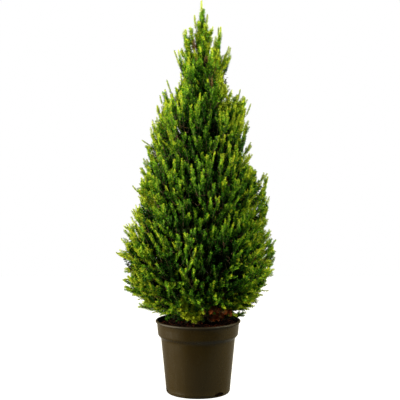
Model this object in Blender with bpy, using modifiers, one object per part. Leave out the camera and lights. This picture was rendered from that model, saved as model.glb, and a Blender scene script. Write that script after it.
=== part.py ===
"""A dwarf spruce in a round nursery pot, from the pot's drain slots to the tip of the leader.

+Z is up and the origin is the centre of the pot's flat underside, so the plant stands on z = 0.
Azimuth 0 is the plant's front, -Y, and azimuth 90 is +X. Lengths are in metres, angles in degrees.
"""

import math
import random

import bmesh
import bpy
from mathutils import Vector, noise

# The fit between neighbouring solids.
SEAT_GAP = 0.0003
CUTTER_GAP = 0.0004
MERGE = 0.00001

# Pot: moulded plastic, 5 litres, a deep collar under a thin rolled lip.
POT_HEIGHT = 0.190
LIP_RADIUS = 0.110
LIP_DEPTH = 0.0065
COLLAR_TOP_RADIUS = 0.1066
COLLAR_FOOT_RADIUS = 0.1038
COLLAR_DEPTH = 0.029
SHOULDER_DEPTH = 0.013
WALL_TOP_RADIUS = 0.0958
WALL_FOOT_RADIUS = 0.0828
FOOT_RADIUS = 0.0775
FOOT_HEIGHT = 0.006
WALL = 0.0018
BASE_THICKNESS = 0.0020
POT_SIDES = 40

# Drain slots, cut through the wall just above the base.
SLOT_COUNT = 3
SLOT_FIRST_AZIMUTH = 39
SLOT_WIDTH = 0.026
SLOT_HEIGHT = 0.0075
SLOT_MIDDLE_Z = 0.0068
SLOT_CUT_LENGTH = 0.020
SLOT_SIDES = 12

# Compost, which fills the pot to just under its lip.
COMPOST_TOP = 0.178
COMPOST_EDGE_DROP = 0.003
COMPOST_GAP = 0.0007
COMPOST_RINGS = (0.45, 0.62, 0.80)
COMPOST_SIDES = 28
COMPOST_RELIEF = 0.004
CRUMBS_PER_M = 45
TRUNK_BED_RADIUS = 0.030

# Trunk: one leader stem with a slight sway and a lean towards +X.
TRUNK_TOP = 0.955
TRUNK_FOOT_RADIUS = 0.0105
TRUNK_TOP_RADIUS = 0.0014
TRUNK_RINGS = 14
TRUNK_SIDES = 12
TRUNK_TAPER = 0.85
TRUNK_LEAN = 0.011
TRUNK_SWAY = 0.004
TRUNK_SWAYS = 1.1
STRAIGHT_FOOT = 0.004
FLARE_RADIUS = 0.0065
FLARE_HEIGHT = 0.014
FLARE_LOBES = 5
FLARE_LOBE_DEPTH = 0.16

# Crown: how far the foliage reaches from the trunk at each height.
TREE_TOP = 1.006
CROWN_OUTLINE = (
    (0.196, 0.080),
    (0.215, 0.118),
    (0.245, 0.152),
    (0.290, 0.179),
    (0.340, 0.188),
    (0.385, 0.192),
    (0.440, 0.172),
    (0.545, 0.156),
    (0.600, 0.127),
    (0.730, 0.112),
    (0.770, 0.096),
    (0.805, 0.066),
    (0.840, 0.026),
)
CROWN_UNEVENNESS = 0.07
HOLLOWS_ROUND_CROWN = 2.3
HOLLOWS_PER_M = 11.5
UPSWEEP = 0.75
PLUME_UPSWEEP = 1.4
MASS_GAP = 0.003
MASS_SIDES = 14
MASS_RINGS = 9
ROUNDING = 12
SEAT_SPREAD = 0.9
TUFT_SHARE = 0.42
TUFT_REACH = (0.006, 0.018)
TUFT_LIFT = 0.45
TUFT_RISES = (-0.4, 0.85)
TUFT_MARGIN = 1.15
SEED = 20

# Tiers of boughs with the mass of foliage that each one carries:
# name, count, azimuth of the first, height of the masses' middle, share of the crown's radius at
# which that middle lies, radius of the bare inside, rise of the bough, height of its foot below
# its entry into the mass, radius of the bough at the trunk.
TIERS = (
    ("skirt", 6, 14, 0.262, 0.60, 0.046, 10, 0.016, 0.0046),
    ("belly", 6, -17, 0.385, 0.60, 0.042, 24, 0.026, 0.0044),
    ("waist", 5, 20, 0.520, 0.58, 0.034, 34, 0.030, 0.0038),
    ("shoulder", 4, -28, 0.664, 0.56, 0.022, 44, 0.026, 0.0030),
)
TIER_STAGGER = 0.020
MIDDLE_SCATTER = 0.008
ENTRY_DROP = 0.35
BOUGH_SIDES = 8
BOUGH_TAPER = 0.62
BOUGH_POINTS = 5
BOUGH_BEND = 0.45
BOUGH_LAST_POINT = 0.22

# Spires, the free-standing plumes round the leader: azimuth, distance of the foot from the trunk
# and its height, distance of the tip and its height, half-width.
SPIRES = (
    (-78, 0.022, 0.742, 0.042, 0.934, 0.0210),
    (72, 0.024, 0.746, 0.050, 0.939, 0.0200),
    (104, 0.032, 0.730, 0.074, 0.889, 0.0215),
    (-116, 0.031, 0.726, 0.068, 0.883, 0.0210),
    (168, 0.030, 0.734, 0.056, 0.915, 0.0240),
    (24, 0.032, 0.724, 0.056, 0.886, 0.0240),
    (-30, 0.036, 0.720, 0.072, 0.862, 0.0230),
)
SPIRE_MIDDLE_SHARE = 0.36
SPIRE_ENTRY = 0.5
SPIRE_SIDES = 9
SPIRE_RINGS = 8
SPIRE_BOUGH_RADIUS = 0.0020
SPIRE_BOUGH_DROP = 0.022
SPIRE_BARE_RADIUS = 0.012

# Leader: the topmost mass, threaded on the end of the trunk.
LEADER_FOOT = 0.790
LEADER_MIDDLE_SHARE = 0.40
LEADER_HALF_WIDTH = 0.0185
LEADER_SIDES = 12
LEADER_RINGS = 11

# A flame shape, 0 at its foot and 1 at its tip: how fast it swells and how slowly it narrows.
FLAME_SWELL = 0.35
FLAME_NARROW = 0.75
FLAME_WIDTH = 1.9

# Rays that measure how far a mass may reach.
LONGEST_RAY = 0.30
HALVINGS = 22
NEVER = 10.0
PARALLEL = 0.000001

MATERIALS = {
    "pot_plastic": ((0.070, 0.058, 0.036), 0.42),
    "compost": ((0.035, 0.020, 0.014), 0.95),
    "bark": ((0.150, 0.085, 0.050), 0.90),
    "foliage": ((0.090, 0.190, 0.015), 0.75),
}


def material(name):
    """The named finish, made once."""
    found = bpy.data.materials.get(name)
    if found:
        return found
    colour, roughness = MATERIALS[name]
    made = bpy.data.materials.new(name)
    made.use_nodes = True
    shader = made.node_tree.nodes["Principled BSDF"]
    shader.inputs["Base Color"].default_value = (*colour, 1)
    shader.inputs["Roughness"].default_value = roughness
    return made


def collection(name):
    made = bpy.data.collections.new(name)
    bpy.context.scene.collection.children.link(made)
    return made


def add(name, mesh, into, finish=None):
    """A new object for the mesh, in that collection."""
    obj = bpy.data.objects.new(name, mesh)
    into.objects.link(obj)
    if finish:
        mesh.materials.clear()
        mesh.materials.append(material(finish))
    return obj


def as_helper(obj):
    """Marks a cutter, which is never part of the plant."""
    obj.hide_render = True
    obj.display_type = "WIRE"
    return obj


def plain_mesh(obj):
    """The object's evaluated mesh, welded, with the object itself removed."""
    bpy.context.view_layer.update()
    graph = bpy.context.evaluated_depsgraph_get()
    mesh = bpy.data.meshes.new_from_object(obj.evaluated_get(graph))
    mesh.transform(obj.matrix_world)
    bpy.data.objects.remove(obj)
    work = bmesh.new()
    work.from_mesh(mesh)
    bmesh.ops.remove_doubles(work, verts=work.verts, dist=MERGE)
    bmesh.ops.recalc_face_normals(work, faces=work.faces)
    work.to_mesh(mesh)
    work.free()
    return mesh


def cut(obj, cutter):
    modifier = obj.modifiers.new("cut " + cutter.name, "BOOLEAN")
    modifier.operation = "DIFFERENCE"
    modifier.object = cutter


def turned(name, profile, sides, into, finish=None):
    """A solid of revolution from (radius, height) pairs that run down the outer side."""
    mesh = bpy.data.meshes.new(name)
    edges = [(i, i + 1) for i in range(len(profile) - 1)]
    mesh.from_pydata([(radius, 0, z) for radius, z in profile], edges, [])
    obj = add(name, mesh, into, finish)
    screw = obj.modifiers.new("turn", "SCREW")
    screw.steps = sides
    screw.render_steps = sides
    screw.use_merge_vertices = True
    screw.merge_threshold = 0.0001
    return obj


def tube(name, line, radii, sides, into):
    """A round limb along the points of line, as a welded mesh with flat ends."""
    curve = bpy.data.curves.new(name, "CURVE")
    curve.dimensions = "3D"
    curve.bevel_depth = 1
    curve.bevel_resolution = sides // 2 - 2
    curve.use_fill_caps = True
    spline = curve.splines.new("POLY")
    spline.points.add(len(line) - 1)
    for point, place, radius in zip(spline.points, line, radii):
        point.co = (*place, 1)
        point.radius = radius
    obj = bpy.data.objects.new(name, curve)
    into.objects.link(obj)
    return plain_mesh(obj)


def mix(low, high, share):
    return low + (high - low) * share


def along(table, height):
    """The value at that height in a table of (height, value) pairs, eased between them."""
    if height <= table[0][0] or height >= table[-1][0]:
        return 0.0
    for (z0, v0), (z1, v1) in zip(table, table[1:]):
        if height <= z1:
            share = (height - z0) / (z1 - z0)
            return mix(v0, v1, share * share * (3 - 2 * share))
    return 0.0


def outwards(azimuth, rise=0.0):
    """The unit vector at that azimuth, climbing at rise degrees."""
    a, r = math.radians(azimuth), math.radians(rise)
    return Vector((math.sin(a) * math.cos(r), -math.cos(a) * math.cos(r), math.sin(r)))


# Pot


def pot_outside():
    """(radius, height) down the pot's outer side, from the lip to the foot."""
    collar_top = POT_HEIGHT - LIP_DEPTH
    collar_foot = collar_top - COLLAR_DEPTH
    wall_top = collar_foot - SHOULDER_DEPTH
    return (
        (LIP_RADIUS - 0.0008, POT_HEIGHT),
        (LIP_RADIUS, POT_HEIGHT - 0.0012),
        (LIP_RADIUS, collar_top + 0.0008),
        (COLLAR_TOP_RADIUS, collar_top),
        (COLLAR_FOOT_RADIUS, collar_foot),
        (WALL_TOP_RADIUS, wall_top),
        (WALL_FOOT_RADIUS, FOOT_HEIGHT),
        (FOOT_RADIUS, 0),
    )


def pot_inside():
    """(radius, height) up the pot's inner side, from the base to the lip."""
    collar_foot = POT_HEIGHT - LIP_DEPTH - COLLAR_DEPTH
    return (
        (FOOT_RADIUS - WALL, BASE_THICKNESS),
        (WALL_FOOT_RADIUS - WALL, FOOT_HEIGHT + WALL / 2),
        (WALL_TOP_RADIUS - WALL, collar_foot - SHOULDER_DEPTH + WALL / 2),
        (COLLAR_FOOT_RADIUS - WALL, collar_foot + WALL / 2),
        (COLLAR_TOP_RADIUS - WALL, POT_HEIGHT),
    )


def slot_cutter(number, into):
    """An oval bar that lies across the wall at one drain slot."""
    azimuth = SLOT_FIRST_AZIMUTH + number * 360 / SLOT_COUNT
    work = bmesh.new()
    bmesh.ops.create_cone(
        work,
        cap_ends=True,
        segments=SLOT_SIDES,
        radius1=0.5,
        radius2=0.5,
        depth=1,
    )
    middle = outwards(azimuth) * WALL_FOOT_RADIUS + Vector((0, 0, SLOT_MIDDLE_Z))
    across = outwards(azimuth + 90)
    for vert in work.verts:
        sideways, upwards, inwards = vert.co
        vert.co = (
            middle
            + across * sideways * SLOT_WIDTH
            + Vector((0, 0, upwards * SLOT_HEIGHT))
            + outwards(azimuth) * inwards * SLOT_CUT_LENGTH
        )
    work.normal_update()
    mesh = bpy.data.meshes.new(f"slot_cutter_{number}")
    work.to_mesh(mesh)
    work.free()
    return as_helper(add(mesh.name, mesh, into))


def make_pot(plant, cutters):
    profile = ((0, BASE_THICKNESS), *pot_inside(), *pot_outside(), (0, 0))
    pot = turned("pot", profile, POT_SIDES, plant, "pot_plastic")
    for number in range(SLOT_COUNT):
        cut(pot, slot_cutter(number, cutters))


# Compost


def inner_radius(height):
    """The radius of the pot's inner side at that height."""
    for (r0, z0), (r1, z1) in zip(pot_inside(), pot_inside()[1:]):
        if height <= z1:
            return mix(r0, r1, (height - z0) / (z1 - z0))
    return pot_inside()[-1][0]


def make_compost(plant):
    """A plug that fills the pot, with a level bed for the trunk and a crumbly top round it."""
    edge_z = COMPOST_TOP - COMPOST_EDGE_DROP
    edge_radius = inner_radius(edge_z) - COMPOST_GAP
    sides = [(r - COMPOST_GAP, z) for r, z in reversed(pot_inside()[:-1])]
    foot_radius, foot_z = sides.pop()
    profile = (
        (0, COMPOST_TOP),
        (TRUNK_BED_RADIUS, COMPOST_TOP),
        *((edge_radius * share, COMPOST_TOP) for share in COMPOST_RINGS),
        (edge_radius, edge_z),
        *sides,
        (foot_radius, foot_z + SEAT_GAP),
        (0, foot_z + SEAT_GAP),
    )
    mesh = plain_mesh(turned("compost_blank", profile, COMPOST_SIDES, plant))
    for vert in mesh.vertices:
        off_axis = math.hypot(vert.co.x, vert.co.y)
        if vert.co.z > edge_z and off_axis > TRUNK_BED_RADIUS + MERGE:
            vert.co.z += COMPOST_RELIEF * noise.noise(vert.co * CRUMBS_PER_M)
    add("compost", mesh, plant, "compost")


# Trunk


def trunk_middle(height):
    """The point on the trunk's centre line at that height."""
    share = (height - COMPOST_TOP) / (TREE_TOP - COMPOST_TOP)
    sway = TRUNK_SWAY * math.sin(math.tau * TRUNK_SWAYS * share)
    return Vector((TRUNK_LEAN * share - sway, sway * share / 2, height))


def trunk_radius(height):
    share = (height - COMPOST_TOP) / (TRUNK_TOP - COMPOST_TOP)
    flare = FLARE_RADIUS * math.exp((COMPOST_TOP - height) / FLARE_HEIGHT)
    return mix(TRUNK_FOOT_RADIUS, TRUNK_TOP_RADIUS, share**TRUNK_TAPER) + flare


def trunk_mesh(name, foot, extra, into):
    """The trunk from its foot to its top, made thicker and taller by extra."""
    heights = [foot]
    for ring in range(TRUNK_RINGS):
        share = (ring / (TRUNK_RINGS - 1)) ** 1.3
        heights.append(mix(foot + STRAIGHT_FOOT, TRUNK_TOP + extra, share))
    line = [trunk_middle(max(z, foot + STRAIGHT_FOOT)) for z in heights]
    for point, z in zip(line, heights):
        point.z = z
    radii = [trunk_radius(min(z, TRUNK_TOP)) + extra for z in heights]
    mesh = tube(name, line, radii, TRUNK_SIDES, into)
    work = bmesh.new()
    work.from_mesh(mesh)
    bmesh.ops.triangulate(work, faces=work.faces, quad_method="FIXED")
    for vert in work.verts:
        middle = trunk_middle(max(vert.co.z, COMPOST_TOP))
        spread = vert.co - middle
        lobe = math.cos(FLARE_LOBES * math.atan2(spread.y, spread.x))
        fade = math.exp((COMPOST_TOP - vert.co.z) / FLARE_HEIGHT)
        swell = 1 + FLARE_LOBE_DEPTH * lobe * fade
        vert.co.x = middle.x + spread.x * swell
        vert.co.y = middle.y + spread.y * swell
    work.to_mesh(mesh)
    work.free()
    return mesh


def make_trunk(plant, cutters):
    """The trunk, and a slightly larger copy that clears room for it in what meets it."""
    foot = COMPOST_TOP + SEAT_GAP
    add("trunk", trunk_mesh("trunk", foot, 0, plant), plant, "bark")
    room = trunk_mesh("trunk_room", foot, CUTTER_GAP, cutters)
    return as_helper(add("trunk_room", room, cutters))


# Foliage masses


class Mass:
    """One mass of foliage: where its middle is, where its bough enters, and what bounds it."""

    def __init__(self, name, middle, entry, inside, planes, upright=False):
        self.name = name
        self.middle = middle
        self.entry = entry
        self.inside = inside
        self.planes = planes
        self.upright = upright


def crown_holds(point):
    """True if the point is within the crown's uneven outline."""
    spread = point - trunk_middle(point.z)
    azimuth = math.atan2(spread.x, -spread.y)
    around = Vector((math.sin(azimuth), math.cos(azimuth), 0)) * HOLLOWS_ROUND_CROWN
    ripple = noise.noise(around + Vector((0, 0, point.z * HOLLOWS_PER_M)))
    reach = along(CROWN_OUTLINE, point.z) * (1 + CROWN_UNEVENNESS * ripple)
    return math.hypot(spread.x, spread.y) < reach


def flame_holds(foot, tip, half_width):
    """A test for points within a flame shape that stands from foot to tip."""
    axis = tip - foot
    length = axis.length
    axis = axis.normalized()

    def holds(point):
        share = (point - foot).dot(axis) / length
        if not 0 < share < 1:
            return False
        width = half_width * FLAME_WIDTH * share**FLAME_SWELL * (1 - share) ** FLAME_NARROW
        return (point - foot - axis * share * length).length < width

    return holds


def plan_tiers(rng):
    """The masses of the crown's tiers, each with the bough that enters it."""
    masses, boughs = [], []
    for tier in TIERS:
        name, count, first, height, share, bare, rise, drop, thickness = tier
        for number in range(count):
            azimuth = first + (number + rng.uniform(-0.08, 0.08)) * 360 / count
            z = height + TIER_STAGGER * (-1) ** number + rng.uniform(-1, 1) * MIDDLE_SCATTER
            out = outwards(azimuth)
            middle = trunk_middle(z) + out * along(CROWN_OUTLINE, z) * share
            way = outwards(azimuth, rise)
            entry_z = z - ENTRY_DROP * (middle - trunk_middle(z)).length
            entry = trunk_middle(entry_z) + out * bare
            planes = [(entry, -way), (entry, -out)]
            label = f"{name}_{number + 1}"
            masses.append(Mass("mass_" + label, middle, entry, crown_holds, planes))
            boughs.append((label, entry, way, drop, thickness))
    return masses, boughs


def plan_spires():
    """The masses of the free shoots round the leader, each with its slender bough."""
    masses, boughs = [], []
    for number, spire in enumerate(SPIRES):
        azimuth, foot_out, foot_z, tip_out, tip_z, half_width = spire
        out = outwards(azimuth)
        foot = trunk_middle(foot_z) + out * foot_out
        tip = trunk_middle(tip_z) + out * tip_out
        way = (tip - foot).normalized()
        entry = foot + way * half_width * SPIRE_ENTRY
        bare = trunk_middle(foot_z) + out * SPIRE_BARE_RADIUS
        planes = [(entry, -way), (bare, -out)]
        inside = flame_holds(foot, tip, half_width)
        label = f"spire_{number + 1}"
        middle = foot.lerp(tip, SPIRE_MIDDLE_SHARE)
        masses.append(Mass("mass_" + label, middle, entry, inside, planes, True))
        boughs.append((label, entry, way, SPIRE_BOUGH_DROP, SPIRE_BOUGH_RADIUS))
    return masses, boughs


def plan_leader():
    foot, tip = trunk_middle(LEADER_FOOT), trunk_middle(TREE_TOP)
    inside = flame_holds(foot, tip, LEADER_HALF_WIDTH)
    middle = foot.lerp(tip, LEADER_MIDDLE_SHARE)
    return Mass("mass_leader", middle, foot, inside, [], True)


def part_neighbours(masses):
    """Bounds each mass by a plane halfway to every other one, with a gap between them.

    A plane between an upper and a lower mass climbs outwards, as the boughs themselves do, and
    one between two upright plumes stands upright.
    """
    for mass in masses:
        for other in masses:
            if other is mass:
                continue
            halfway = mass.middle.lerp(other.middle, 0.5)
            apart = (other.middle - mass.middle).normalized()
            if mass.upright and other.upright:
                apart = Vector((apart.x, apart.y, 0)).normalized()
            else:
                climb = PLUME_UPSWEEP if mass.upright or other.upright else UPSWEEP
                out = (halfway - trunk_middle(halfway.z)).normalized()
                apart = (apart - out * climb * apart.z).normalized()
            mass.planes.append((halfway - apart * MASS_GAP / 2, apart))


def free_length(start, way, point, normal):
    """How far a ray runs before it crosses the plane, or a long way if it never does."""
    closing = way.dot(normal)
    if closing < PARALLEL:
        return NEVER
    return (point - start).dot(normal) / closing


def surface_length(start, way, inside):
    """How far a ray runs inside the shape, found by halving."""
    near, far = 0.0, LONGEST_RAY
    for _ in range(HALVINGS):
        half = (near + far) / 2
        if inside(start + way * half):
            near = half
        else:
            far = half
    return near


def lengths(mass, way):
    """How far a ray from the mass's middle runs to each of its planes, and to its outline."""
    bounds = [free_length(mass.middle, way, *plane) for plane in mass.planes]
    return bounds, surface_length(mass.middle, way, mass.inside)


def shape_mass(mass, sides, rings, rng):
    """A closed lump, seated on its bough, that fills its share of the crown with tufted edges."""
    work = bmesh.new()
    bmesh.ops.create_uvsphere(work, u_segments=sides, v_segments=rings, radius=1)
    pole = (mass.entry - mass.middle).normalized().to_track_quat("Z", "Y")
    for vert in work.verts:
        way = (pole @ vert.co).normalized()
        bounds, outer = lengths(mass, way)
        length = sum(b**-ROUNDING for b in [*bounds, outer]) ** (-1 / ROUNDING)
        if vert.co.z > SEAT_SPREAD:
            length = min([*bounds, outer])
        tuft = rng.random() < TUFT_SHARE and outer < TUFT_MARGIN * min([*bounds, outer])
        if tuft and TUFT_RISES[0] < way.z < TUFT_RISES[1]:
            way = (way + Vector((0, 0, TUFT_LIFT * rng.random()))).normalized()
            bounds, outer = lengths(mass, way)
            length = min([*bounds, outer + rng.uniform(*TUFT_REACH)])
        vert.co = mass.middle + way * length
    mesh = bpy.data.meshes.new(mass.name)
    work.to_mesh(mesh)
    work.free()
    return mesh


def bough_line(entry, way, drop):
    """A line from the trunk's middle that curves up into the mass along way."""
    foot = trunk_middle(entry.z - drop)
    reach = (entry - foot).length
    bend = entry - way * reach * BOUGH_BEND
    line = []
    for step in range(BOUGH_POINTS - 1):
        share = step / (BOUGH_POINTS - 1)
        line.append(foot.lerp(bend, share).lerp(bend.lerp(entry, share), share))
    line[-1] = entry - way * reach * BOUGH_LAST_POINT
    line.append(entry - way * SEAT_GAP)
    return line


def make_boughs(plan, trunk_room, plant):
    for label, entry, way, drop, thickness in plan:
        line = bough_line(entry, way, drop)
        steps = len(line) - 1
        radii = [thickness * mix(1, BOUGH_TAPER, step / steps) for step in range(steps + 1)]
        mesh = tube("bough_" + label, line, radii, BOUGH_SIDES, plant)
        cut(add("bough_" + label, mesh, plant, "bark"), trunk_room)


def make_foliage(trunk_room, plant):
    rng = random.Random(SEED)
    masses, boughs = plan_tiers(rng)
    spires, spire_boughs = plan_spires()
    leader = plan_leader()
    part_neighbours([*masses, *spires, leader])
    for mass in masses:
        add(mass.name, shape_mass(mass, MASS_SIDES, MASS_RINGS, rng), plant, "foliage")
    for mass in spires:
        add(mass.name, shape_mass(mass, SPIRE_SIDES, SPIRE_RINGS, rng), plant, "foliage")
    top = shape_mass(leader, LEADER_SIDES, LEADER_RINGS, rng)
    cut(add(leader.name, top, plant, "foliage"), trunk_room)
    make_boughs([*boughs, *spire_boughs], trunk_room, plant)


def main():
    for old in list(bpy.data.objects):
        bpy.data.objects.remove(old)
    plant = collection("potted_spruce")
    cutters = collection("cutters")
    make_pot(plant, cutters)
    make_compost(plant)
    trunk_room = make_trunk(plant, cutters)
    make_foliage(trunk_room, plant)


main()
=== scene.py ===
"""A dwarf spruce in a nursery pot: the looks of every surface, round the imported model.

Lengths are in metres. Azimuth 0 is the plant's front, -Y, and azimuth 90 is +X.
"""

import math

import bmesh
import bpy
import numpy as np
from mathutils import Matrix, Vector, noise
from mathutils.bvhtree import BVHTree


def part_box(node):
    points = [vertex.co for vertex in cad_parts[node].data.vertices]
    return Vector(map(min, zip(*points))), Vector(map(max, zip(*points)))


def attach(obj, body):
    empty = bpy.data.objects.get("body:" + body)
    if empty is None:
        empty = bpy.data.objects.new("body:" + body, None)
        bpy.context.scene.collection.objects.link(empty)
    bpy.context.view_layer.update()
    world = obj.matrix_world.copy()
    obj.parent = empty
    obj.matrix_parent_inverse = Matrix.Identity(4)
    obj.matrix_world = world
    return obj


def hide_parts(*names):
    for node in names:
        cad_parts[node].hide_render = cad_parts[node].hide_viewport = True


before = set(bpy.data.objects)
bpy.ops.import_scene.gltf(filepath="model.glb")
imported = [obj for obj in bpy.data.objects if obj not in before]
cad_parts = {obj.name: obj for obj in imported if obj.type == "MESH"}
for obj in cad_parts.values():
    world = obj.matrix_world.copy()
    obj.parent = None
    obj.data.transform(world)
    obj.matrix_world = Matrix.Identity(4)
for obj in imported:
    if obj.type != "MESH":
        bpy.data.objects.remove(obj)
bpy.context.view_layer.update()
pot_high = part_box("pot")[1]
compost_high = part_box("compost")[1]


# Studio: a white room with a pale floor, which ends just in front of the pot. Two broad lights
# catch both edges of the crown and the pot, and a softer one above the front picks out the tips.

CAMERA_PLACE = (0.005, -3.0, 0.75)
CAMERA_PITCH = -4.75
CAMERA_LENS = 105.5
FLOOR_SIZE = 2.3
FLOOR_FRONT = -0.30
FLOOR_COLOUR = (0.08, 0.08, 0.08)
FLOOR_GLOW = 0.02
ROOM_LIGHT = 0.115
ROOM_SEEN = 1.0
# Place, size, watts and colour of each light; each one looks at the middle of the crown.
LIGHTS = {
    "side_left": ((-2.25, -0.36, 0.90), 2.0, 430, (1.0, 0.89, 0.66)),
    "side_right": ((2.1, -0.25, 2.20), 2.0, 405, (1.0, 0.92, 0.66)),
    "overhead": ((0.3, -1.85, 1.95), 1.6, 33, (0.92, 1.0, 0.80)),
}
LIT_POINT = Vector((0, 0, 0.5))


def plain_material(name, colour, roughness, gleam=0.5):
    """A Principled material of one colour, roughness and specular level, and its shader node."""
    made = bpy.data.materials.new(name)
    made.use_nodes = True
    shader = made.node_tree.nodes["Principled BSDF"]
    shader.inputs["Base Color"].default_value = (*colour, 1)
    shader.inputs["Roughness"].default_value = roughness
    shader.inputs["Specular IOR Level"].default_value = gleam
    return made, shader


def placed(name, data):
    """A new object in the scene."""
    made = bpy.data.objects.new(name, data)
    bpy.context.scene.collection.objects.link(made)
    return made


def wear(piece, material):
    """Gives the piece that material and no other."""
    piece.data.materials.clear()
    piece.data.materials.append(material)


camera = placed("camera", bpy.data.cameras.new("camera"))
camera.location = CAMERA_PLACE
camera.rotation_euler = (math.radians(90 + CAMERA_PITCH), 0, 0)
camera.data.lens = CAMERA_LENS
bpy.context.scene.camera = camera
bpy.context.scene.view_settings.view_transform = "Standard"

for name, (place, size, watts, colour) in LIGHTS.items():
    lamp = bpy.data.lights.new(name, "AREA")
    lamp.size = size
    lamp.energy = watts
    lamp.color = colour
    stand = placed(name, lamp)
    stand.location = place
    stand.rotation_euler = (LIT_POINT - stand.location).to_track_quat("-Z", "Y").to_euler()


def graded(tree, source, given, made):
    """A value that runs through one range, made to run through another."""
    node = tree.nodes.new("ShaderNodeMapRange")
    for socket, value in zip(("From Min", "From Max", "To Min", "To Max"), (*given, *made)):
        node.inputs[socket].default_value = value
    tree.links.new(source, node.inputs["Value"])
    return node.outputs["Result"]


def burnt_out(tree, strength, shining):
    """Makes a white surface look white, though it shines on the plant less than it looks."""
    looked_at = tree.nodes.new("ShaderNodeLightPath").outputs["Is Camera Ray"]
    tree.links.new(graded(tree, looked_at, (0, 1), (shining, ROOM_SEEN)), strength)


room = bpy.data.worlds.new("room")
room.use_nodes = True
walls = room.node_tree.nodes["Background"]
walls.inputs["Color"].default_value = (1, 1, 1, 1)
burnt_out(room.node_tree, walls.inputs["Strength"], ROOM_LIGHT)
bpy.context.scene.world = room

bpy.ops.object.select_all(action="DESELECT")
bpy.ops.mesh.primitive_plane_add(size=FLOOR_SIZE)
floor = bpy.context.object
floor.name = "floor"
for vert in floor.data.vertices:
    vert.co.y += FLOOR_SIZE / 2 + FLOOR_FRONT
floor_paint, shader = plain_material("floor_paint", FLOOR_COLOUR, 0.9)
shader.inputs["Emission Color"].default_value = (1, 1, 1, 1)
burnt_out(floor_paint.node_tree, shader.inputs["Emission Strength"], FLOOR_GLOW)
wear(floor, floor_paint)


# Pot: injection-moulded in dark olive-brown plastic, one thin wall from the rounded foot, with
# its fine ridge and drain slots, up to a deep collar and a rolled lip.

POT_SIDES = 144
POT_WALL = 0.0018
LIP_RADIUS = pot_high.x
LIP_ROLL = 0.0030
COLLAR_TOP = 0.1066
COLLAR_FOOT = 0.1038
COLLAR_FOOT_Z = 0.1545
WALL_TOP = 0.0958
WALL_TOP_Z = 0.1415
WALL_FOOT = 0.0829
WALL_FOOT_Z = 0.0070
FOOT_RADIUS = 0.0762
SLOT_COUNT = 3
SLOT_FIRST_AZIMUTH = 41
SLOT_WIDTH = 0.0291
SLOT_HEIGHT = 0.0100
SLOT_Z = 0.0085
SLOT_CUT = 0.02
POT_COLOURS = ((0.0090, 0.0057, 0.0009), (0.0136, 0.0088, 0.0015))
POT_ROUGHNESS = (0.22, 0.30)
# The rolled lip is dulled by handling, fading out between these depths below its top.
LIP_DULLNESS = 0.35
LIP_DULL_DEPTHS = (0.0085, 0.0050)
POT_SHEEN = (0.70, 0.84, 1.0)


def arc(middle_r, middle_z, radius, first, last, steps):
    """(radius, height) points round part of a circle, with its angles in degrees."""
    points = []
    for step in range(steps + 1):
        angle = math.radians(first + (last - first) * step / steps)
        points.append((middle_r + radius * math.cos(angle), middle_z + radius * math.sin(angle)))
    return points


def mix(low, high, share):
    return low + (high - low) * share


def turn_up(points):
    """In edit mode, draws a solid of revolution up from a selected ring, from ring to ring."""
    last_r, last_z = points[0]
    for r, z in points[1:]:
        bpy.ops.mesh.extrude_region_move(TRANSFORM_OT_translate={"value": (0, 0, z - last_z)})
        grow = r / last_r
        bpy.ops.transform.resize(value=(grow, grow, 1), center_override=(0, 0, z))
        last_r, last_z = r, z


def take_up(piece):
    """Makes the piece the active one and the only one selected."""
    bpy.ops.object.select_all(action="DESELECT")
    piece.select_set(True)
    bpy.context.view_layer.objects.active = piece


def finish_shape(piece, smooth_angle=40):
    """Merges doubles, points every face outwards and smooths what is gently curved."""
    work = bmesh.new()
    work.from_mesh(piece.data)
    bmesh.ops.remove_doubles(work, verts=work.verts, dist=0.00001)
    bmesh.ops.recalc_face_normals(work, faces=work.faces)
    work.to_mesh(piece.data)
    work.free()
    take_up(piece)
    bpy.ops.object.shade_smooth_by_angle(angle=math.radians(smooth_angle))


def apply_modifiers(piece):
    take_up(piece)
    for modifier in list(piece.modifiers):
        bpy.ops.object.modifier_apply(modifier=modifier.name)


lip_z = pot_high.z
lip_middle_r = LIP_RADIUS - LIP_ROLL
lip_middle_z = lip_z - LIP_ROLL
foot_bend = WALL_FOOT - FOOT_RADIUS
outside = [
    (FOOT_RADIUS, 0),
    *arc(FOOT_RADIUS, foot_bend, foot_bend, -75, -10, 4),
    (WALL_FOOT - 0.0002, WALL_FOOT_Z),
    (WALL_FOOT + 0.0004, WALL_FOOT_Z + 0.0008),
    (WALL_FOOT + 0.0006, WALL_FOOT_Z + 0.0020),
    (WALL_FOOT + 0.0003, WALL_FOOT_Z + 0.0034),
    *((mix(WALL_FOOT, WALL_TOP, s), mix(WALL_FOOT_Z, WALL_TOP_Z, s))
      for s in (0.10, 0.3, 0.5, 0.7, 0.9, 0.985)),
    *((mix(WALL_TOP, COLLAR_FOOT, s * s * (3 - 2 * s)), mix(WALL_TOP_Z, COLLAR_FOOT_Z, s))
      for s in (0.1, 0.2, 0.32, 0.44, 0.56, 0.68, 0.8, 0.9, 1.0)),
    (COLLAR_FOOT + 0.0003, COLLAR_FOOT_Z + 0.0030),
    (COLLAR_FOOT + 0.0015, COLLAR_FOOT_Z + 0.0150),
    (COLLAR_TOP - 0.0004, lip_z - 0.0080),
    (COLLAR_TOP + 0.0002, lip_z - 0.0066),
    *arc(lip_middle_r, lip_middle_z, LIP_ROLL, -70, 90, 8),
    *arc(COLLAR_TOP - POT_WALL + 0.0015, lip_z - 0.0015, 0.0015, 90, 175, 4),
]
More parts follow.
